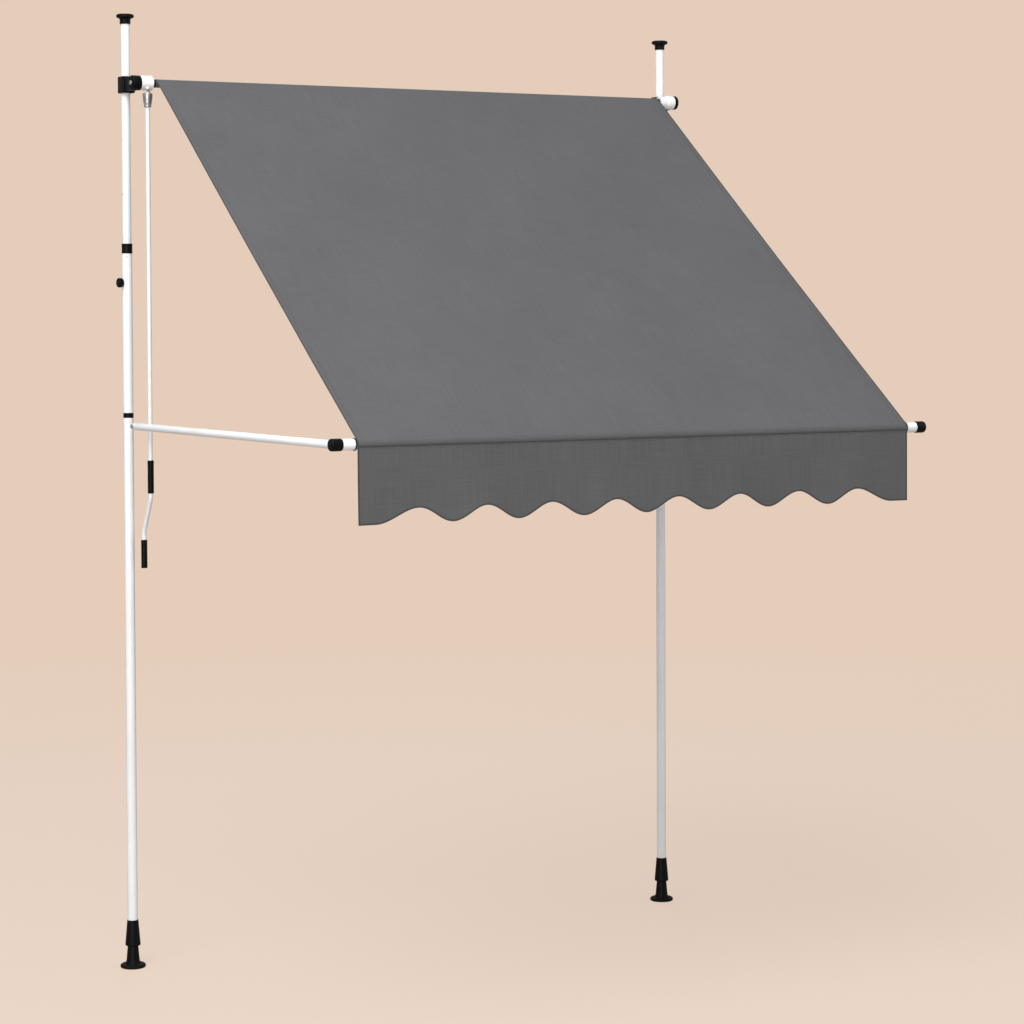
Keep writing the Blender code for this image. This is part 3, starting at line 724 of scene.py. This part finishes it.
def roller_clamp(side, name):
    """Moulded clamp on the upper tube, with a plate and round flange that carry the roller's end."""
    node_name = f"{name}_roller_clamp"
    low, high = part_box(node_name)
    post = middle(f"{name}_upper_tube")
    axis = middle("roller_tube")
    finish = finish_of(node_name)
    block_front = -20 * MM
    outer = (high.x if side > 0 else low.x) - post.x
    inner = (low.x if side > 0 else high.x) - post.x
    back = high.y - post.y
    corners = [
        (outer, back, 5 * MM),
        (outer, block_front, 4 * MM),
        (inner, block_front, 4 * MM),
        (inner, back, 5 * MM),
    ]
    at = (post.x, post.y, axis.z)
    block = prism(rounded(corners, 6), -22 * MM, 20 * MM, 1.4 * MM)
    body = solid(f"{name}_roller_bracket", block, finish, at)
    flange = 19 * MM
    plate_out = (11 if side < 0 else 10) * MM
    plate_in = (-12.2 if side < 0 else 0.5) * MM
    reach = axis.y - post.y
    near = flange - 0.8 * MM
    angles = [math.radians(60 + 10 * k) for k in range(25)]
    arc = [(reach + flange * math.cos(a), flange * math.sin(a)) for a in angles]
    plate = [(-12 * MM, near), (reach + 25 * MM, near)] + arc + [(reach + 25 * MM, -near), (-12 * MM, -near)]
    spread = sorted((side * plate_in, side * plate_out))
    bm = prism(plate, spread[0], spread[1], 1.6 * MM)
    bmesh.ops.transform(bm, matrix=YZ_TO_X, verts=bm.verts)
    bmesh.ops.recalc_face_normals(bm, faces=bm.faces)
    combined(body, solid("plate", bm, finish, at), "UNION")
    drilled(body, 11.55 * MM, 70 * MM, at, (0, 0, 1), FINE)
    face = post.x + side * plate_out
    drilled(body, 11 * MM, 3.6 * MM, (face, axis.y, axis.z), (1, 0, 0), 48)
    drilled(body, 3.3 * MM, 80 * MM, (post.x, axis.y, axis.z), (1, 0, 0))
    drilled(body, 4.2 * MM, 8 * MM, (post.x, high.y, axis.z), (0, 1, 0))
    stands_for(body, node_name)
    pan_head(f"{name}_roller_clamp_key_screw", f"{name}_roller_clamp_screw", 1, 1, 1.2 * MM)
    pan_head(f"{name}_roller_end_bolt", f"{name}_roller_bolt", 0, side)
    rim = [
        (12 * MM, 0, 0),
        (14.6 * MM, 0, 0),
        (14.6 * MM, 1.1 * MM, 0.5 * MM),
        (12 * MM, 1.1 * MM, 0.5 * MM),
    ]
    ring = solid(f"{name}_bracket_rim", lathe(rim, 48), finish, (face, axis.y, axis.z), (side, 0, 0))
    rides_with(ring, node_name)


# ---------------------------------------------------------------- arms and bar


def arm(name):
    """Enamelled arm tube: closed and domed where it turns on its bolt."""
    node_name = f"{name}_arm"
    low, high, radius = span(node_name, 1)
    wall = 1 * MM
    profile = [
        (0, low, 0),
        (radius - wall - 0.2 * MM, low, 0),
        (radius, low, 0.3 * MM),
        (radius, high, 6.5 * MM),
        (0, high, 0),
    ]
    centre = middle(node_name)
    at = (centre.x, 0, centre.z)
    piece = solid(node_name + "_tube", lathe(profile, FINE), finish_of(node_name), at, (0, 1, 0))
    socket = radius - wall
    drilled(piece, socket, 84 * MM, (centre.x, low, centre.z), (0, 1, 0), FINE)
    bolt = middle(f"{name}_arm_bolt")
    drilled(piece, 3.3 * MM, 40 * MM, (centre.x, bolt.y, bolt.z), (1, 0, 0))
    stands_for(piece, node_name)


def elbow(side, name):
    """Moulded barrel at the corner, with rounded ends, parting line and a spigot into the arm."""
    node_name = f"{name}_elbow"
    low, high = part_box(node_name)
    start = high.x if side < 0 else low.x
    bar = middle("front_bar")
    length = high.x - low.x
    radius = (high.z - low.z) / 2
    bore = span("front_bar", 0)[2] + 0.3 * MM
    wall = 8.5 * MM
    profile = [
        (2.3 * MM, length, 0.2 * MM),
        (radius - 4.2 * MM, length, 1.0 * MM),
        (radius - 1.4 * MM, length - 1.2 * MM, 2.0 * MM),
        (radius - 0.1 * MM, length - 4.5 * MM, 2.0 * MM),
        (radius, length / 2, 2 * MM),
        (radius - 0.1 * MM, 3 * MM, 1.0 * MM),
        (radius - 1.0 * MM, 0, 0.6 * MM),
        (bore, 0, 0.1 * MM),
        (bore, length - wall, 0),
        (2.3 * MM, length - wall, 0),
    ]
    finish = finish_of(node_name)
    body = solid(f"{name}_corner_barrel", lathe(profile, FINE), finish, (start, bar.y, bar.z), (side, 0, 0))
    tube_radius = span(f"{name}_arm", 1)[2]
    spigot = tube_radius - 1.3 * MM
    reach = high.y - bar.y
    stub = [(0, bore + 0.5 * MM, 0), (spigot, bore + 0.5 * MM, 0), (spigot, reach, 1.5 * MM), (0, reach, 0)]
    x = middle(f"{name}_arm").x
    combined(body, solid("spigot", lathe(stub), finish, (x, bar.y, bar.z), (0, 1, 0)), "UNION")
    stands_for(body, node_name)
    screw = pan_head(f"{name}_elbow_key_screw", f"{name}_elbow_screw", 0, side, 1.8 * MM)
    screw.data.materials[0] = OXIDE


def arms_and_bar():
    for side, name in SIDES:
        arm_clamp(side, name)
        arm(name)
        elbow(side, name)
        roller_clamp(side, name)
        stop = f"{name}_bar_ring"
        low, high, radius = span(stop, 0)
        inner = span("front_bar", 0)[2] + 0.2 * MM
        profile = [(inner, low, 0), (radius, low, 0.8 * MM), (radius, high, 0.8 * MM), (inner, high, 0)]
        centre = middle(stop)
        at = (0, centre.y, centre.z)
        piece = solid(f"{name}_fabric_stop", lathe(profile, FINE), finish_of(stop), at, (1, 0, 0))
        stands_for(piece, stop)
    stands_for(tube("front_bar", 0, 1.2 * MM), "front_bar")


# ---------------------------------------------------------------- roller, gear and crank


def gear_and_roller():
    """Gear housing, bearing housing, roller plugs and what is left of the canvas on the roller."""
    axis = middle("roller_tube")
    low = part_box("gearbox")[0].x
    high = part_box("gearbox_cover")[1].x
    radius = span("gearbox", 0)[2]
    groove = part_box("gearbox_cover")[0].x - low
    length = high - low
    profile = [
        (0, 0, 0),
        (radius - 1.2 * MM, 0, 0.8 * MM),
        (radius, 1.6 * MM, 0.8 * MM),
        (radius, groove - 0.6 * MM, 0.2 * MM),
        (radius - 0.7 * MM, groove - 0.3 * MM, 0),
        (radius, groove + 0.1 * MM, 0.2 * MM),
        (radius, length, 1.0 * MM),
        (4.3 * MM, length, 0),
        (4.3 * MM, length - 4 * MM, 0),
        (radius - 2.2 * MM, length - 4 * MM, 0),
        (radius - 2.2 * MM, 3 * MM, 0),
        (0, 3 * MM, 0),
    ]
    finish = finish_of("gearbox")
    housing = solid("gear_housing", lathe(profile, FINE), finish, (low, axis.y, axis.z), (1, 0, 0))
    worm = middle("worm")
    drilled(housing, 3.0 * MM, 20 * MM, (worm.x, worm.y, axis.z - 18 * MM), (0, 0, 1))
    boss = [
        (3.2 * MM, -1.2 * MM, 0),
        (5.2 * MM, -1.2 * MM, 0.5 * MM),
        (5.2 * MM, 4 * MM, 0),
        (3.2 * MM, 4 * MM, 0),
    ]
    base = axis.z - math.sqrt(radius**2 - (worm.y - axis.y) ** 2)
    rides_with(
        solid("worm_boss", lathe(boss, 32), finish, (worm.x, worm.y, base), (0, 0, 1)),
        "gearbox",
    )
    stands_for(housing, "gearbox", "gearbox_cover")

    low, high, radius = span("idle_housing", 0)
    step = 23 * MM
    profile = [
        (4.3 * MM, 0, 0),
        (radius - 2.2 * MM, 0, 0.8 * MM),
        (radius - 2.2 * MM, step - 0.5 * MM, 0.4 * MM),
        (radius - 0.8 * MM, step, 0.5 * MM),
        (radius, step + 1.2 * MM, 0.6 * MM),
        (radius, high - low - 0.8 * MM, 0.6 * MM),
        (radius - 1 * MM, high - low, 0.4 * MM),
        (4.3 * MM, high - low, 0),
    ]
    idle = solid("bearing_housing", lathe(profile, FINE), finish, (low, axis.y, axis.z), (1, 0, 0))
    stands_for(idle, "idle_housing")

    for side, plug in ((-1, "drive_plug"), (1, "idle_plug")):
        low, high, radius = span(plug, 0)
        start = min(abs(low), abs(high))
        end = max(abs(low), abs(high))
        tube_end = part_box("roller_tube")[1].x
        flange = abs(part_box("gearbox_cover")[1].x)
        profile = [
            (0, start, 0),
            (7.7 * MM, start, 0.8 * MM),
            (7.7 * MM, tube_end + 0.3 * MM, 0),
            (radius, tube_end + 0.3 * MM, 0.5 * MM),
            (radius, flange - 0.3 * MM, 0.8 * MM),
            (4 * MM, flange - 0.3 * MM, 0),
            (4 * MM, end, 0.5 * MM),
            (0, end, 0),
        ]
        piece = solid(f"{plug}_flange", lathe(profile), finish_of(plug), (0, axis.y, axis.z), (side, 0, 0))
        stands_for(piece, plug)
    canvas_roll(axis)


def canvas_roll(axis):
    """Spiral turns of canvas on the tube, with the step where the outer turn ends."""
    low, high, radius = span("fabric_roll", 0)
    inner = span("roller_tube", 0)[2] + 0.1 * MM
    turns = 3
    steps = turns * 40
    bm = bmesh.new()
    layers = bm.loops.layers.uv.new("UVMap")
    columns = 40
    rows = []
    for k in range(steps + 1):
        angle = math.tau * turns * k / steps
        reach = inner + 0.3 * MM + (radius - inner - 0.5 * MM) * k / steps
        ring_points = []
        for c in range(columns + 1):
            x = low + (high - low) * c / columns
            ring_points.append(bm.verts.new((x, reach * math.sin(angle), reach * math.cos(angle))))
        rows.append(ring_points)
    for k in range(steps):
        for c in range(columns):
            face = bm.faces.new((rows[k][c], rows[k][c + 1], rows[k + 1][c + 1], rows[k + 1][c]))
            face.smooth = True
            for loop, (dc, dk) in zip(face.loops, ((0, 0), (1, 0), (1, 1), (0, 1))):
                x = low + (high - low) * (c + dc) / columns
                loop[layers].uv = (x, (k + dk) / steps * turns * math.tau * radius)
    piece = solid("canvas_on_roller", bm, FINISH["canvas"], (0, axis.y, axis.z))
    thicken(piece, 0.5 * MM)
    stands_for(piece, "fabric_roll")


def thicken(obj, thickness, offset=0.0):
    """A cloth's own thickness, with its edges closed."""
    step = obj.modifiers.new("thickness", "SOLIDIFY")
    step.thickness = thickness
    step.offset = offset
    step.use_rim = True
    graph = bpy.context.evaluated_depsgraph_get()
    mesh = bpy.data.meshes.new_from_object(obj.evaluated_get(graph))
    obj.modifiers.clear()
    obj.data = mesh
    mesh.set_sharp_from_angle(angle=math.radians(60))
    return obj


def crank():
    """Eye under the gear, hooked socket, bent rod and ribbed grips."""
    eye = middle("gear_eye")
    steel = finish_of("gear_eye")
    wire = 1.5 * MM
    loop = span("gear_eye", 1)[2] - wire
    angles = [math.tau * k / 12 for k in range(12)]
    section = [(loop + wire * math.cos(a), wire * math.sin(a), 0) for a in angles]
    stands_for(solid("gear_ring", lathe(section, 48), steel, eye, (0, 1, 0)), "gear_eye")

    socket = middle("crank_socket")
    low, high, radius = span("crank_socket", 2)
    profile = [
        (radius, high, 0.6 * MM),
        (radius - 0.1 * MM, high - 10 * MM, 6 * MM),
        (radius - 2.3 * MM, high - 26 * MM, 5 * MM),
        (radius - 3.3 * MM, high - 29 * MM, 0.6 * MM),
        (radius - 3.3 * MM, low + 4.4 * MM, 0.3 * MM),
        (radius - 2.9 * MM, low + 3.9 * MM, 0.3 * MM),
        (radius - 2.9 * MM, low + 1.4 * MM, 0.5 * MM),
        (radius - 3.6 * MM, low, 0.5 * MM),
        (5.6 * MM, low, 0),
        (5.6 * MM, low + 13 * MM, 0),
        (8.6 * MM, low + 13 * MM, 1 * MM),
        (radius - 1.6 * MM, high, 0.4 * MM),
    ]
    bell = solid("crank_bell", lathe(profile, 48), steel, (socket.x, socket.y, 0))
    pin = middle("hook_pin")
    drilled(bell, 1.7 * MM, 40 * MM, pin, (0, 1, 0))
    stands_for(bell, "crank_socket")
    neck = radius - 2.9 * MM
    dome = [(0, neck - 1.5 * MM, 0), (1.7 * MM, neck - 1.5 * MM, 0), (1.7 * MM, neck + 0.4 * MM, 0.6 * MM),
            (0.9 * MM, neck + 1.0 * MM, 0.4 * MM), (0, neck + 1.0 * MM, 0)]
    for k in range(4):
        turn = math.radians(22.5 + 90 * k)
        way = (math.cos(turn), math.sin(turn), 0)
        at = (socket.x, socket.y, low + 6.5 * MM)
        rivet = solid(f"bell_rivet_{k + 1}", lathe(dome, 16), steel, at, way)
        rides_with(rivet, "crank_socket")
    ends = [
        (0, -12.6 * MM, 0),
        (2.6 * MM, -12.6 * MM, 0.6 * MM),
        (2.6 * MM, -11.9 * MM, 0),
        (1.3 * MM, -11.9 * MM, 0),
        (1.3 * MM, 11.9 * MM, 0),
        (2.6 * MM, 11.9 * MM, 0),
        (2.6 * MM, 12.6 * MM, 0.6 * MM),
        (0, 12.6 * MM, 0),
    ]
    stands_for(solid("hook_rivet", lathe(ends, 24), steel, pin, (0, 1, 0)), "hook_pin")
    crank_rod()
    grips()


def bend(before, corner, after, reach=11 * MM, steps=12):
    """Points of a bend in a rod, from one straight run to the next."""
    start = corner + (before - corner).normalized() * reach
    end = corner + (after - corner).normalized() * reach
    shares = [k / steps for k in range(steps + 1)]
    return [start.lerp(corner, t).lerp(corner.lerp(end, t), t) for t in shares]


def crank_rod():
    """One enamelled rod with a double bend between the grips."""
    low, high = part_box("crank_rod")
    top_grip, low_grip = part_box("upper_grip"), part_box("lower_grip")
    x, y = middle("upper_grip").xy
    offset = middle("lower_grip").y - y
    bend_top = top_grip[0].z - 13 * MM
    bend_low = low_grip[1].z + 20 * MM
    radius = (high.x - low.x) / 2
    curve = bpy.data.curves.new("bent_rod", "CURVE")
    curve.dimensions = "3D"
    curve.bevel_depth = radius
    curve.bevel_resolution = 10
    curve.use_fill_caps = True
    top, bottom = Vector((0, high.z)), Vector((offset, low.z))
    upper, lower = Vector((0, bend_top)), Vector((offset, bend_low))
    route = [top] + bend(top, upper, lower) + bend(upper, lower, bottom) + [bottom]
    spline = curve.splines.new("POLY")
    spline.points.add(len(route) - 1)
    for point, (shift, height) in zip(spline.points, route):
        point.co = (x, y + shift, height, 1)
    helper = bpy.data.objects.new("bent_rod_line", curve)
    bpy.context.scene.collection.objects.link(helper)
    graph = bpy.context.evaluated_depsgraph_get()
    bm = bmesh.new()
    bm.from_mesh(bpy.data.meshes.new_from_object(helper.evaluated_get(graph)))
    bmesh.ops.remove_doubles(bm, verts=bm.verts, dist=1e-5)
    bmesh.ops.recalc_face_normals(bm, faces=bm.faces)
    bpy.data.objects.remove(helper)
    stands_for(solid("bent_rod", bm, finish_of("crank_rod")), "crank_rod")


def grips():
    """Free-turning grips with finger rings; the lower one is closed at its end."""
    for node_name, closed in (("upper_grip", False), ("lower_grip", True)):
        low, high, radius = span(node_name, 2)
        inner = 5.7 * MM
        profile = [(0, low, 0) if closed else (inner, low, 0)]
        profile += [(radius - 0.4 * MM, low, 1.6 * MM), (radius, low + 3 * MM, 0.8 * MM)]
        rings = int((high - low) / (6 * MM)) - 1
        for k in range(rings):
            base = low + 5 * MM + k * 6 * MM
            profile += [
                (radius - 0.1 * MM, base, 0.4 * MM),
                (radius - 0.9 * MM, base + 1.0 * MM, 0.4 * MM),
                (radius - 0.9 * MM, base + 1.8 * MM, 0.4 * MM),
                (radius - 0.1 * MM, base + 2.8 * MM, 0.4 * MM),
            ]
        profile += [(radius, high - 2.5 * MM, 0.6 * MM), (radius - 1 * MM, high, 0.8 * MM), (inner, high, 0)]
        if closed:
            profile += [(inner, low + 2.6 * MM, 0), (0, low + 2.6 * MM, 0)]
        at = middle(node_name)
        piece = solid(f"{node_name}_sleeve", lathe(profile, 48), finish_of(node_name), (at.x, at.y, 0))
        stands_for(piece, node_name)


# ---------------------------------------------------------------- canvas

BAR = middle("front_bar")
ROLL = middle("roller_tube")
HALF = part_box("canopy")[1].x
CLOTH = 0.55 * MM
ROLL_REACH = span("fabric_roll", 0)[2] + 0.7 * MM
BAR_REACH = span("front_bar", 0)[2] + 0.7 * MM
SEAM_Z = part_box("valance")[1].z
EDGE_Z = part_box("valance")[0].z
SPLIT = 0.56  # share of the slope taken by the first stretch of the sheet
SAG = 9 * MM
HEM = 16 * MM


def slope():
    """Tangent points of the sheet on the roll and on the bar, in the YZ plane, and its outward normal."""
    roll, bar = Vector((ROLL.y, ROLL.z)), Vector((BAR.y, BAR.z))
    run = bar - roll
    lean = math.asin((ROLL_REACH - BAR_REACH) / run.length)
    angle = math.atan2(run.y, run.x) - math.pi / 2 + lean
    normal = Vector((math.cos(angle), math.sin(angle)))
    return roll + normal * ROLL_REACH, bar + normal * BAR_REACH, normal, angle % math.tau


TOP, FOOT, NORMAL, WRAP_START = slope()
SLOPE_LENGTH = (FOOT - TOP).length
WRAP_END = math.pi + math.asin((BAR.z - SEAM_Z) / BAR_REACH)
WRAP_LENGTH = BAR_REACH * (WRAP_END - WRAP_START)
CUT_LENGTH = SLOPE_LENGTH + WRAP_LENGTH


def canvas_point(x, s, lift=0.0):
    """A point of the canopy at x, s metres down from the roll, lifted off its outer face."""
    if s >= SLOPE_LENGTH:
        angle = WRAP_START + (s - SLOPE_LENGTH) / BAR_REACH
        reach = BAR_REACH + lift
        return Vector((x, BAR.y + reach * math.cos(angle), BAR.z + reach * math.sin(angle)))
    t = s / SLOPE_LENGTH
    across = x / HALF
    arch = 4 * t * (1 - t)
    drop = SAG * arch * (0.55 + 0.45 * (1 - across**2))
    # Soft folds that run from roller to bar and fade at both
    fade = min(1.0, arch * 1.6)
    folds = 0.9 * math.sin(x * 21 + 1.3 + 0.8 * t) + 0.6 * math.sin(x * 47 + 2.1 - 1.7 * t)
    # Pull lines that fan out from the bar's corners, where the cloth is tightest
    corner = max(0.0, abs(across) - 0.55) / 0.45
    pull = 1.1 * corner * math.sin((abs(across) * 34 + t * 22)) * max(0.0, t - 0.45) * (1 - t) * 4
    inward = drop + (folds * fade * 0.8 + pull) * MM
    flat = TOP.lerp(FOOT, t) - NORMAL * (inward - lift)
    return Vector((x, flat.x, flat.y))


def cloth(name, columns, rows, point, uv, finish, thickness=CLOTH):
    """A grid of cloth: point(i, j) gives its place and uv(i, j) its place on the flat cut, in metres."""
    bm = bmesh.new()
    layer = bm.loops.layers.uv.new("UVMap")
    grid = [[bm.verts.new(point(i, j)) for i in range(columns + 1)] for j in range(rows + 1)]
    for j in range(rows):
        for i in range(columns):
            corners = ((i, j), (i + 1, j), (i + 1, j + 1), (i, j + 1))
            face = bm.faces.new([grid[b][a] for a, b in corners])
            for loop, (a, b) in zip(face.loops, corners):
                loop[layer].uv = uv(a, b)
    piece = solid(name, bm, finish, sharp=60)
    return thicken(piece, thickness)


AROUND = ((1, 0), (0, 1), (-1, 0), (0, -1))


def canopy():
    """The stretched sheet, cut in two stretches across the slope: the first from the roller, the second down
    to the bar.
    """
    split = SPLIT * SLOPE_LENGTH
    stretches = (
        ("canopy_head", 0.0, split, "upper_frame", "posts", 48),
        ("canopy_sheet", split, CUT_LENGTH, "posts", "arms", 62),
    )
    for name, start, end, first, last, rows in stretches:
        columns = 144
        main_rows = rows

        def down(j):
            if end < CUT_LENGTH:
                return start + (end - start) * j / main_rows
            slope_rows = main_rows - 14
            if j <= slope_rows:
                return start + (SLOPE_LENGTH - start) * j / slope_rows
            return SLOPE_LENGTH + WRAP_LENGTH * (j - slope_rows) / 14

        def across(i):
            return -HALF + 2 * HALF * i / columns

        sheet = cloth(
            name,
            columns,
            main_rows,
            lambda i, j: canvas_point(across(i), down(j)),
            lambda i, j: (across(i), down(j)),
            FINISH["canvas"],
        )
        extras = []
        for side, side_name in SIDES:
            inner = HALF - HEM
            steps = 6
            hem = cloth(
                f"{name}_{side_name}_hem",
                steps,
                main_rows,
                lambda i, j: canvas_point(
                    side * (inner + (HEM + 0.3 * MM) * i / steps), down(j), hem_lift(i, steps)
                ),
                lambda i, j: (side * (inner + HEM * i / steps), down(j)),
                FINISH["canvas"],
                0.5 * MM,
            )
            binding = cloth(
                f"{name}_{side_name}_edge",
                3,
                main_rows,
                lambda i, j: canvas_point(side * (HALF - 2.4 * MM + 1.0 * MM * i), down(j), 1.25 * MM),
                lambda i, j: (side * (HALF + 1.0 * MM * i), down(j)),
                BINDING_AND_SEAM_SHADE,
                0.35 * MM,
            )
            run = spaced(start, min(end, SLOPE_LENGTH), 5 * MM)
            line = [canvas_point(side * (inner + 2.5 * MM), s, 1.2 * MM) for s in run]
            thread = stitches(f"{name}_{side_name}_stitches", line)
            extras += [hem, binding, thread]
        for piece in [sheet] + extras:
            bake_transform(piece)
        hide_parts("canopy")


def hem_lift(i, steps):
    """The hem is doubled cloth: it lies on the sheet and thins to nothing at its inner edge."""
    return 0.35 * MM + 0.35 * MM * min(1.0, i * 2 / steps)


def spaced(start, end, pitch):
    count = int((end - start) / pitch)
    return [start + pitch * (k + 0.5) for k in range(count)]


def stitches(name, line):
    """Short raised threads along a line, one for each pair of needle holes."""
    bm = bmesh.new()
    layer = bm.loops.layers.uv.new("UVMap")
    for a, b in zip(line, line[1:]):
        along = (b - a) * 0.72
        start = a + (b - a) * 0.14
        side = along.cross(Vector((0.3, 0.2, 1))).normalized() * 0.45 * MM
        lift = along.cross(side).normalized() * 0.35 * MM
        ends = []
        for share, scale in ((0.0, 0.35), (0.25, 1.0), (0.75, 1.0), (1.0, 0.35)):
            spot = start + along * share
            ends.append([bm.verts.new(spot + side * scale * c + lift * scale * d) for c, d in AROUND])
        for low, high in zip(ends, ends[1:]):
            for k in range(4):
                bm.faces.new((low[k], low[(k + 1) % 4], high[(k + 1) % 4], high[k]))
        bm.faces.new(ends[0][::-1])
        bm.faces.new(ends[-1])
    bmesh.ops.recalc_face_normals(bm, faces=bm.faces)
    for face in bm.faces:
        for loop in face.loops:
            loop[layer].uv = (loop.vert.co.x, loop.vert.co.z)
    return solid(name, bm, THREAD)


SCALLOPS = 7
SCALLOP_PITCH = 0.1715
NOTCH_DEPTH = 34 * MM
END_RISE = 0.109


def scallop(x):
    """Height of the valance's lower edge at x: smooth waves between long end lobes."""
    low = EDGE_Z
    first = SCALLOPS * SCALLOP_PITCH / 2
    depth = NOTCH_DEPTH
    if abs(x) <= first:
        return low + depth * (1 + math.cos(math.tau * (x - first) / SCALLOP_PITCH)) / 2
    run = min(1.0, (abs(x) - first) / END_RISE)
    return low + depth * (1 + math.cos(math.pi * run)) / 2


def valance_point(x, t, forward=0.0):
    """A point of the valance: t runs from the seam to the scalloped edge."""
    bottom = scallop(x)
    z = SEAM_Z + 2 * MM + (bottom - SEAM_Z - 2 * MM) * t
    hang = t * t
    ripple = 2.2 * math.sin(x * 19 + 0.7) + 1.3 * math.sin(x * 36.6 + 2.0) + 0.6 * math.sin(x * 71 + 0.4)
    y = BAR.y - BAR_REACH - 0.2 * MM + hang * ripple * MM - forward
    return Vector((x, y, z))


def valance():
    """Hanging strip, its bound edge, a dark strip along its top that paints the seam's shadow line, and the
    stitching.
    """
    columns, rows = 336, 20

    def across(i):
        return -HALF + 2 * HALF * i / columns

    sheet = cloth(
        "valance_cloth",
        columns,
        rows,
        lambda i, j: valance_point(across(i), j / rows),
        lambda i, j: (across(i), valance_point(across(i), j / rows).z),
        FINISH["canvas"],
    )
    tape_width = 4.0 * MM
    line = [(x, scallop(x)) for x in (across(i) for i in range(columns + 1))]
    drop = SEAM_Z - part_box("valance")[0].z
    down = [(-HALF, SEAM_Z - drop * k / 40) for k in range(40)]
    up = [(HALF, SEAM_Z - drop * (40 - k) / 40) for k in range(1, 41)]
    edge = [Vector(p) for p in down + line + up]

    def tape_point(i, j):
        here = edge[i]
        before, after = edge[max(0, i - 1)], edge[min(len(edge) - 1, i + 1)]
        along = (after - before).normalized()
        inward = Vector((-along.y, along.x))
        spot = here + inward * (tape_width * j / 2)
        top = SEAM_Z + 2 * MM
        bottom = scallop(max(-HALF, min(HALF, spot.x)))
        t = min(1.0, max(0.0, (top - spot.y) / (top - bottom)))
        base = valance_point(max(-HALF, min(HALF, spot.x)), t)
        return Vector((spot.x, base.y - 0.45 * MM, spot.y))

    binding = cloth(
        "valance_binding",
        len(edge) - 1,
        2,
        tape_point,
        lambda i, j: (i * 4.5 * MM, j * 2 * MM),
        BINDING_AND_SEAM_SHADE,
        0.5 * MM,
    )
    # Painted shade: a dark strip of binding cloth along the valance's top stands in for the shadow line at
    # the seam
    seam_front = BAR.y - BAR_REACH
    seam_shade_strip = cloth(
        "valance_seam_painted_shade",
        96,
        4,
        lambda i, j: Vector(
            (
                -HALF + 2 * HALF * i / 96,
                seam_front - (1.0 + 0.5 * math.sin(math.pi * j / 4)) * MM,
                SEAM_Z + (1.6 - 0.9 * j) * MM,
            )
        ),
        lambda i, j: (-HALF + 2 * HALF * i / 96, j * 0.8 * MM),
        BINDING_AND_SEAM_SHADE,
        0.5 * MM,
    )
    row = [valance_point(x, 0.045, 0.5 * MM) for x in spaced(-HALF + 4 * MM, HALF - 4 * MM, 5 * MM)]
    thread = stitches("valance_stitches", row)
    extras = [binding, seam_shade_strip, thread]
    for piece in [sheet] + extras:
        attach(piece, "front_bar")
    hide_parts("valance")


# ---------------------------------------------------------------- studio


def studio():
    scene = bpy.context.scene
    scene.view_settings.view_transform = "Standard"
    world = bpy.data.worlds.new("studio_air")
    world.use_nodes = True
    tree = world.node_tree
    # The wall is seen in its own tone, and the air around lights the object without a cast
    seen = node(tree, "ShaderNodeBackground", None, Color=(*linear(WALL_TONE), 1))
    air = node(tree, "ShaderNodeBackground", None, Color=(*linear(AIR_TONE), 1))
    ray = node(tree, "ShaderNodeLightPath").outputs["Is Camera Ray"]
    both = node(tree, "ShaderNodeMixShader", None, i0=ray, i1=air.outputs[0], i2=seen.outputs[0])
    tree.links.new(both.outputs[0], tree.nodes["World Output"].inputs["Surface"])
    scene.world = world
    bm = bmesh.new()
    bmesh.ops.create_circle(bm, cap_ends=True, radius=30, segments=64)
    floor = solid("floor", bm, floor_paint(), (0, 0, -0.2 * MM))
    for name, place, size, power in (
        ("key", (-3.9, -3.2, 6.9), 5.0, 450),
        ("front", (-5.0, -5.5, 1.6), 3.0, 150),
        ("fill", (4.5, -3.0, 3.2), 3.0, 45),
        ("back", (2.0, 5.5, 4.5), 3.0, 60),
    ):
        light = bpy.data.lights.new(name, "AREA")
        light.shape = "DISK"
        light.size = size
        light.energy = power
        lamp = bpy.data.objects.new(name, light)
        scene.collection.objects.link(lamp)
        lamp.location = place
        lamp.rotation_euler = (Vector((0, 0, 1.3)) - Vector(place)).to_track_quat("-Z", "Y").to_euler()


def camera():
    data = bpy.data.cameras.new("camera")
    data.lens = LENS
    data.sensor_width = SENSOR
    data.shift_y = LENS_RISE
    data.clip_end = 200
    obj = bpy.data.objects.new("camera", data)
    bpy.context.scene.collection.objects.link(obj)
    yaw, pitch, roll = (math.radians(a) for a in (CAMERA_YAW, CAMERA_PITCH, CAMERA_ROLL))
    ahead = Vector((math.sin(yaw) * math.cos(pitch), math.cos(yaw) * math.cos(pitch), math.sin(pitch)))
    right = Vector((math.cos(yaw), -math.sin(yaw), 0))
    up = right.cross(ahead)
    rolled_right = right * math.cos(roll) + up * math.sin(roll)
    rolled_up = up * math.cos(roll) - right * math.sin(roll)
    turn = Matrix((rolled_right, rolled_up, -ahead)).transposed().to_4x4()
    obj.matrix_world = Matrix.Translation(CAMERA_PLACE) @ turn
    bpy.context.scene.camera = obj


def plain_nodes():
    """Nodes that stay as they are get their finish."""
    for name, obj in NODES.items():
        if obj.hide_render:
            continue
        obj.data.materials.clear()
        obj.data.materials.append(finish_of(name))


camera()
studio()
posts()
arms_and_bar()
gear_and_roller()
crank()
canopy()
valance()
plain_nodes()

bpy.context.view_layer.update()
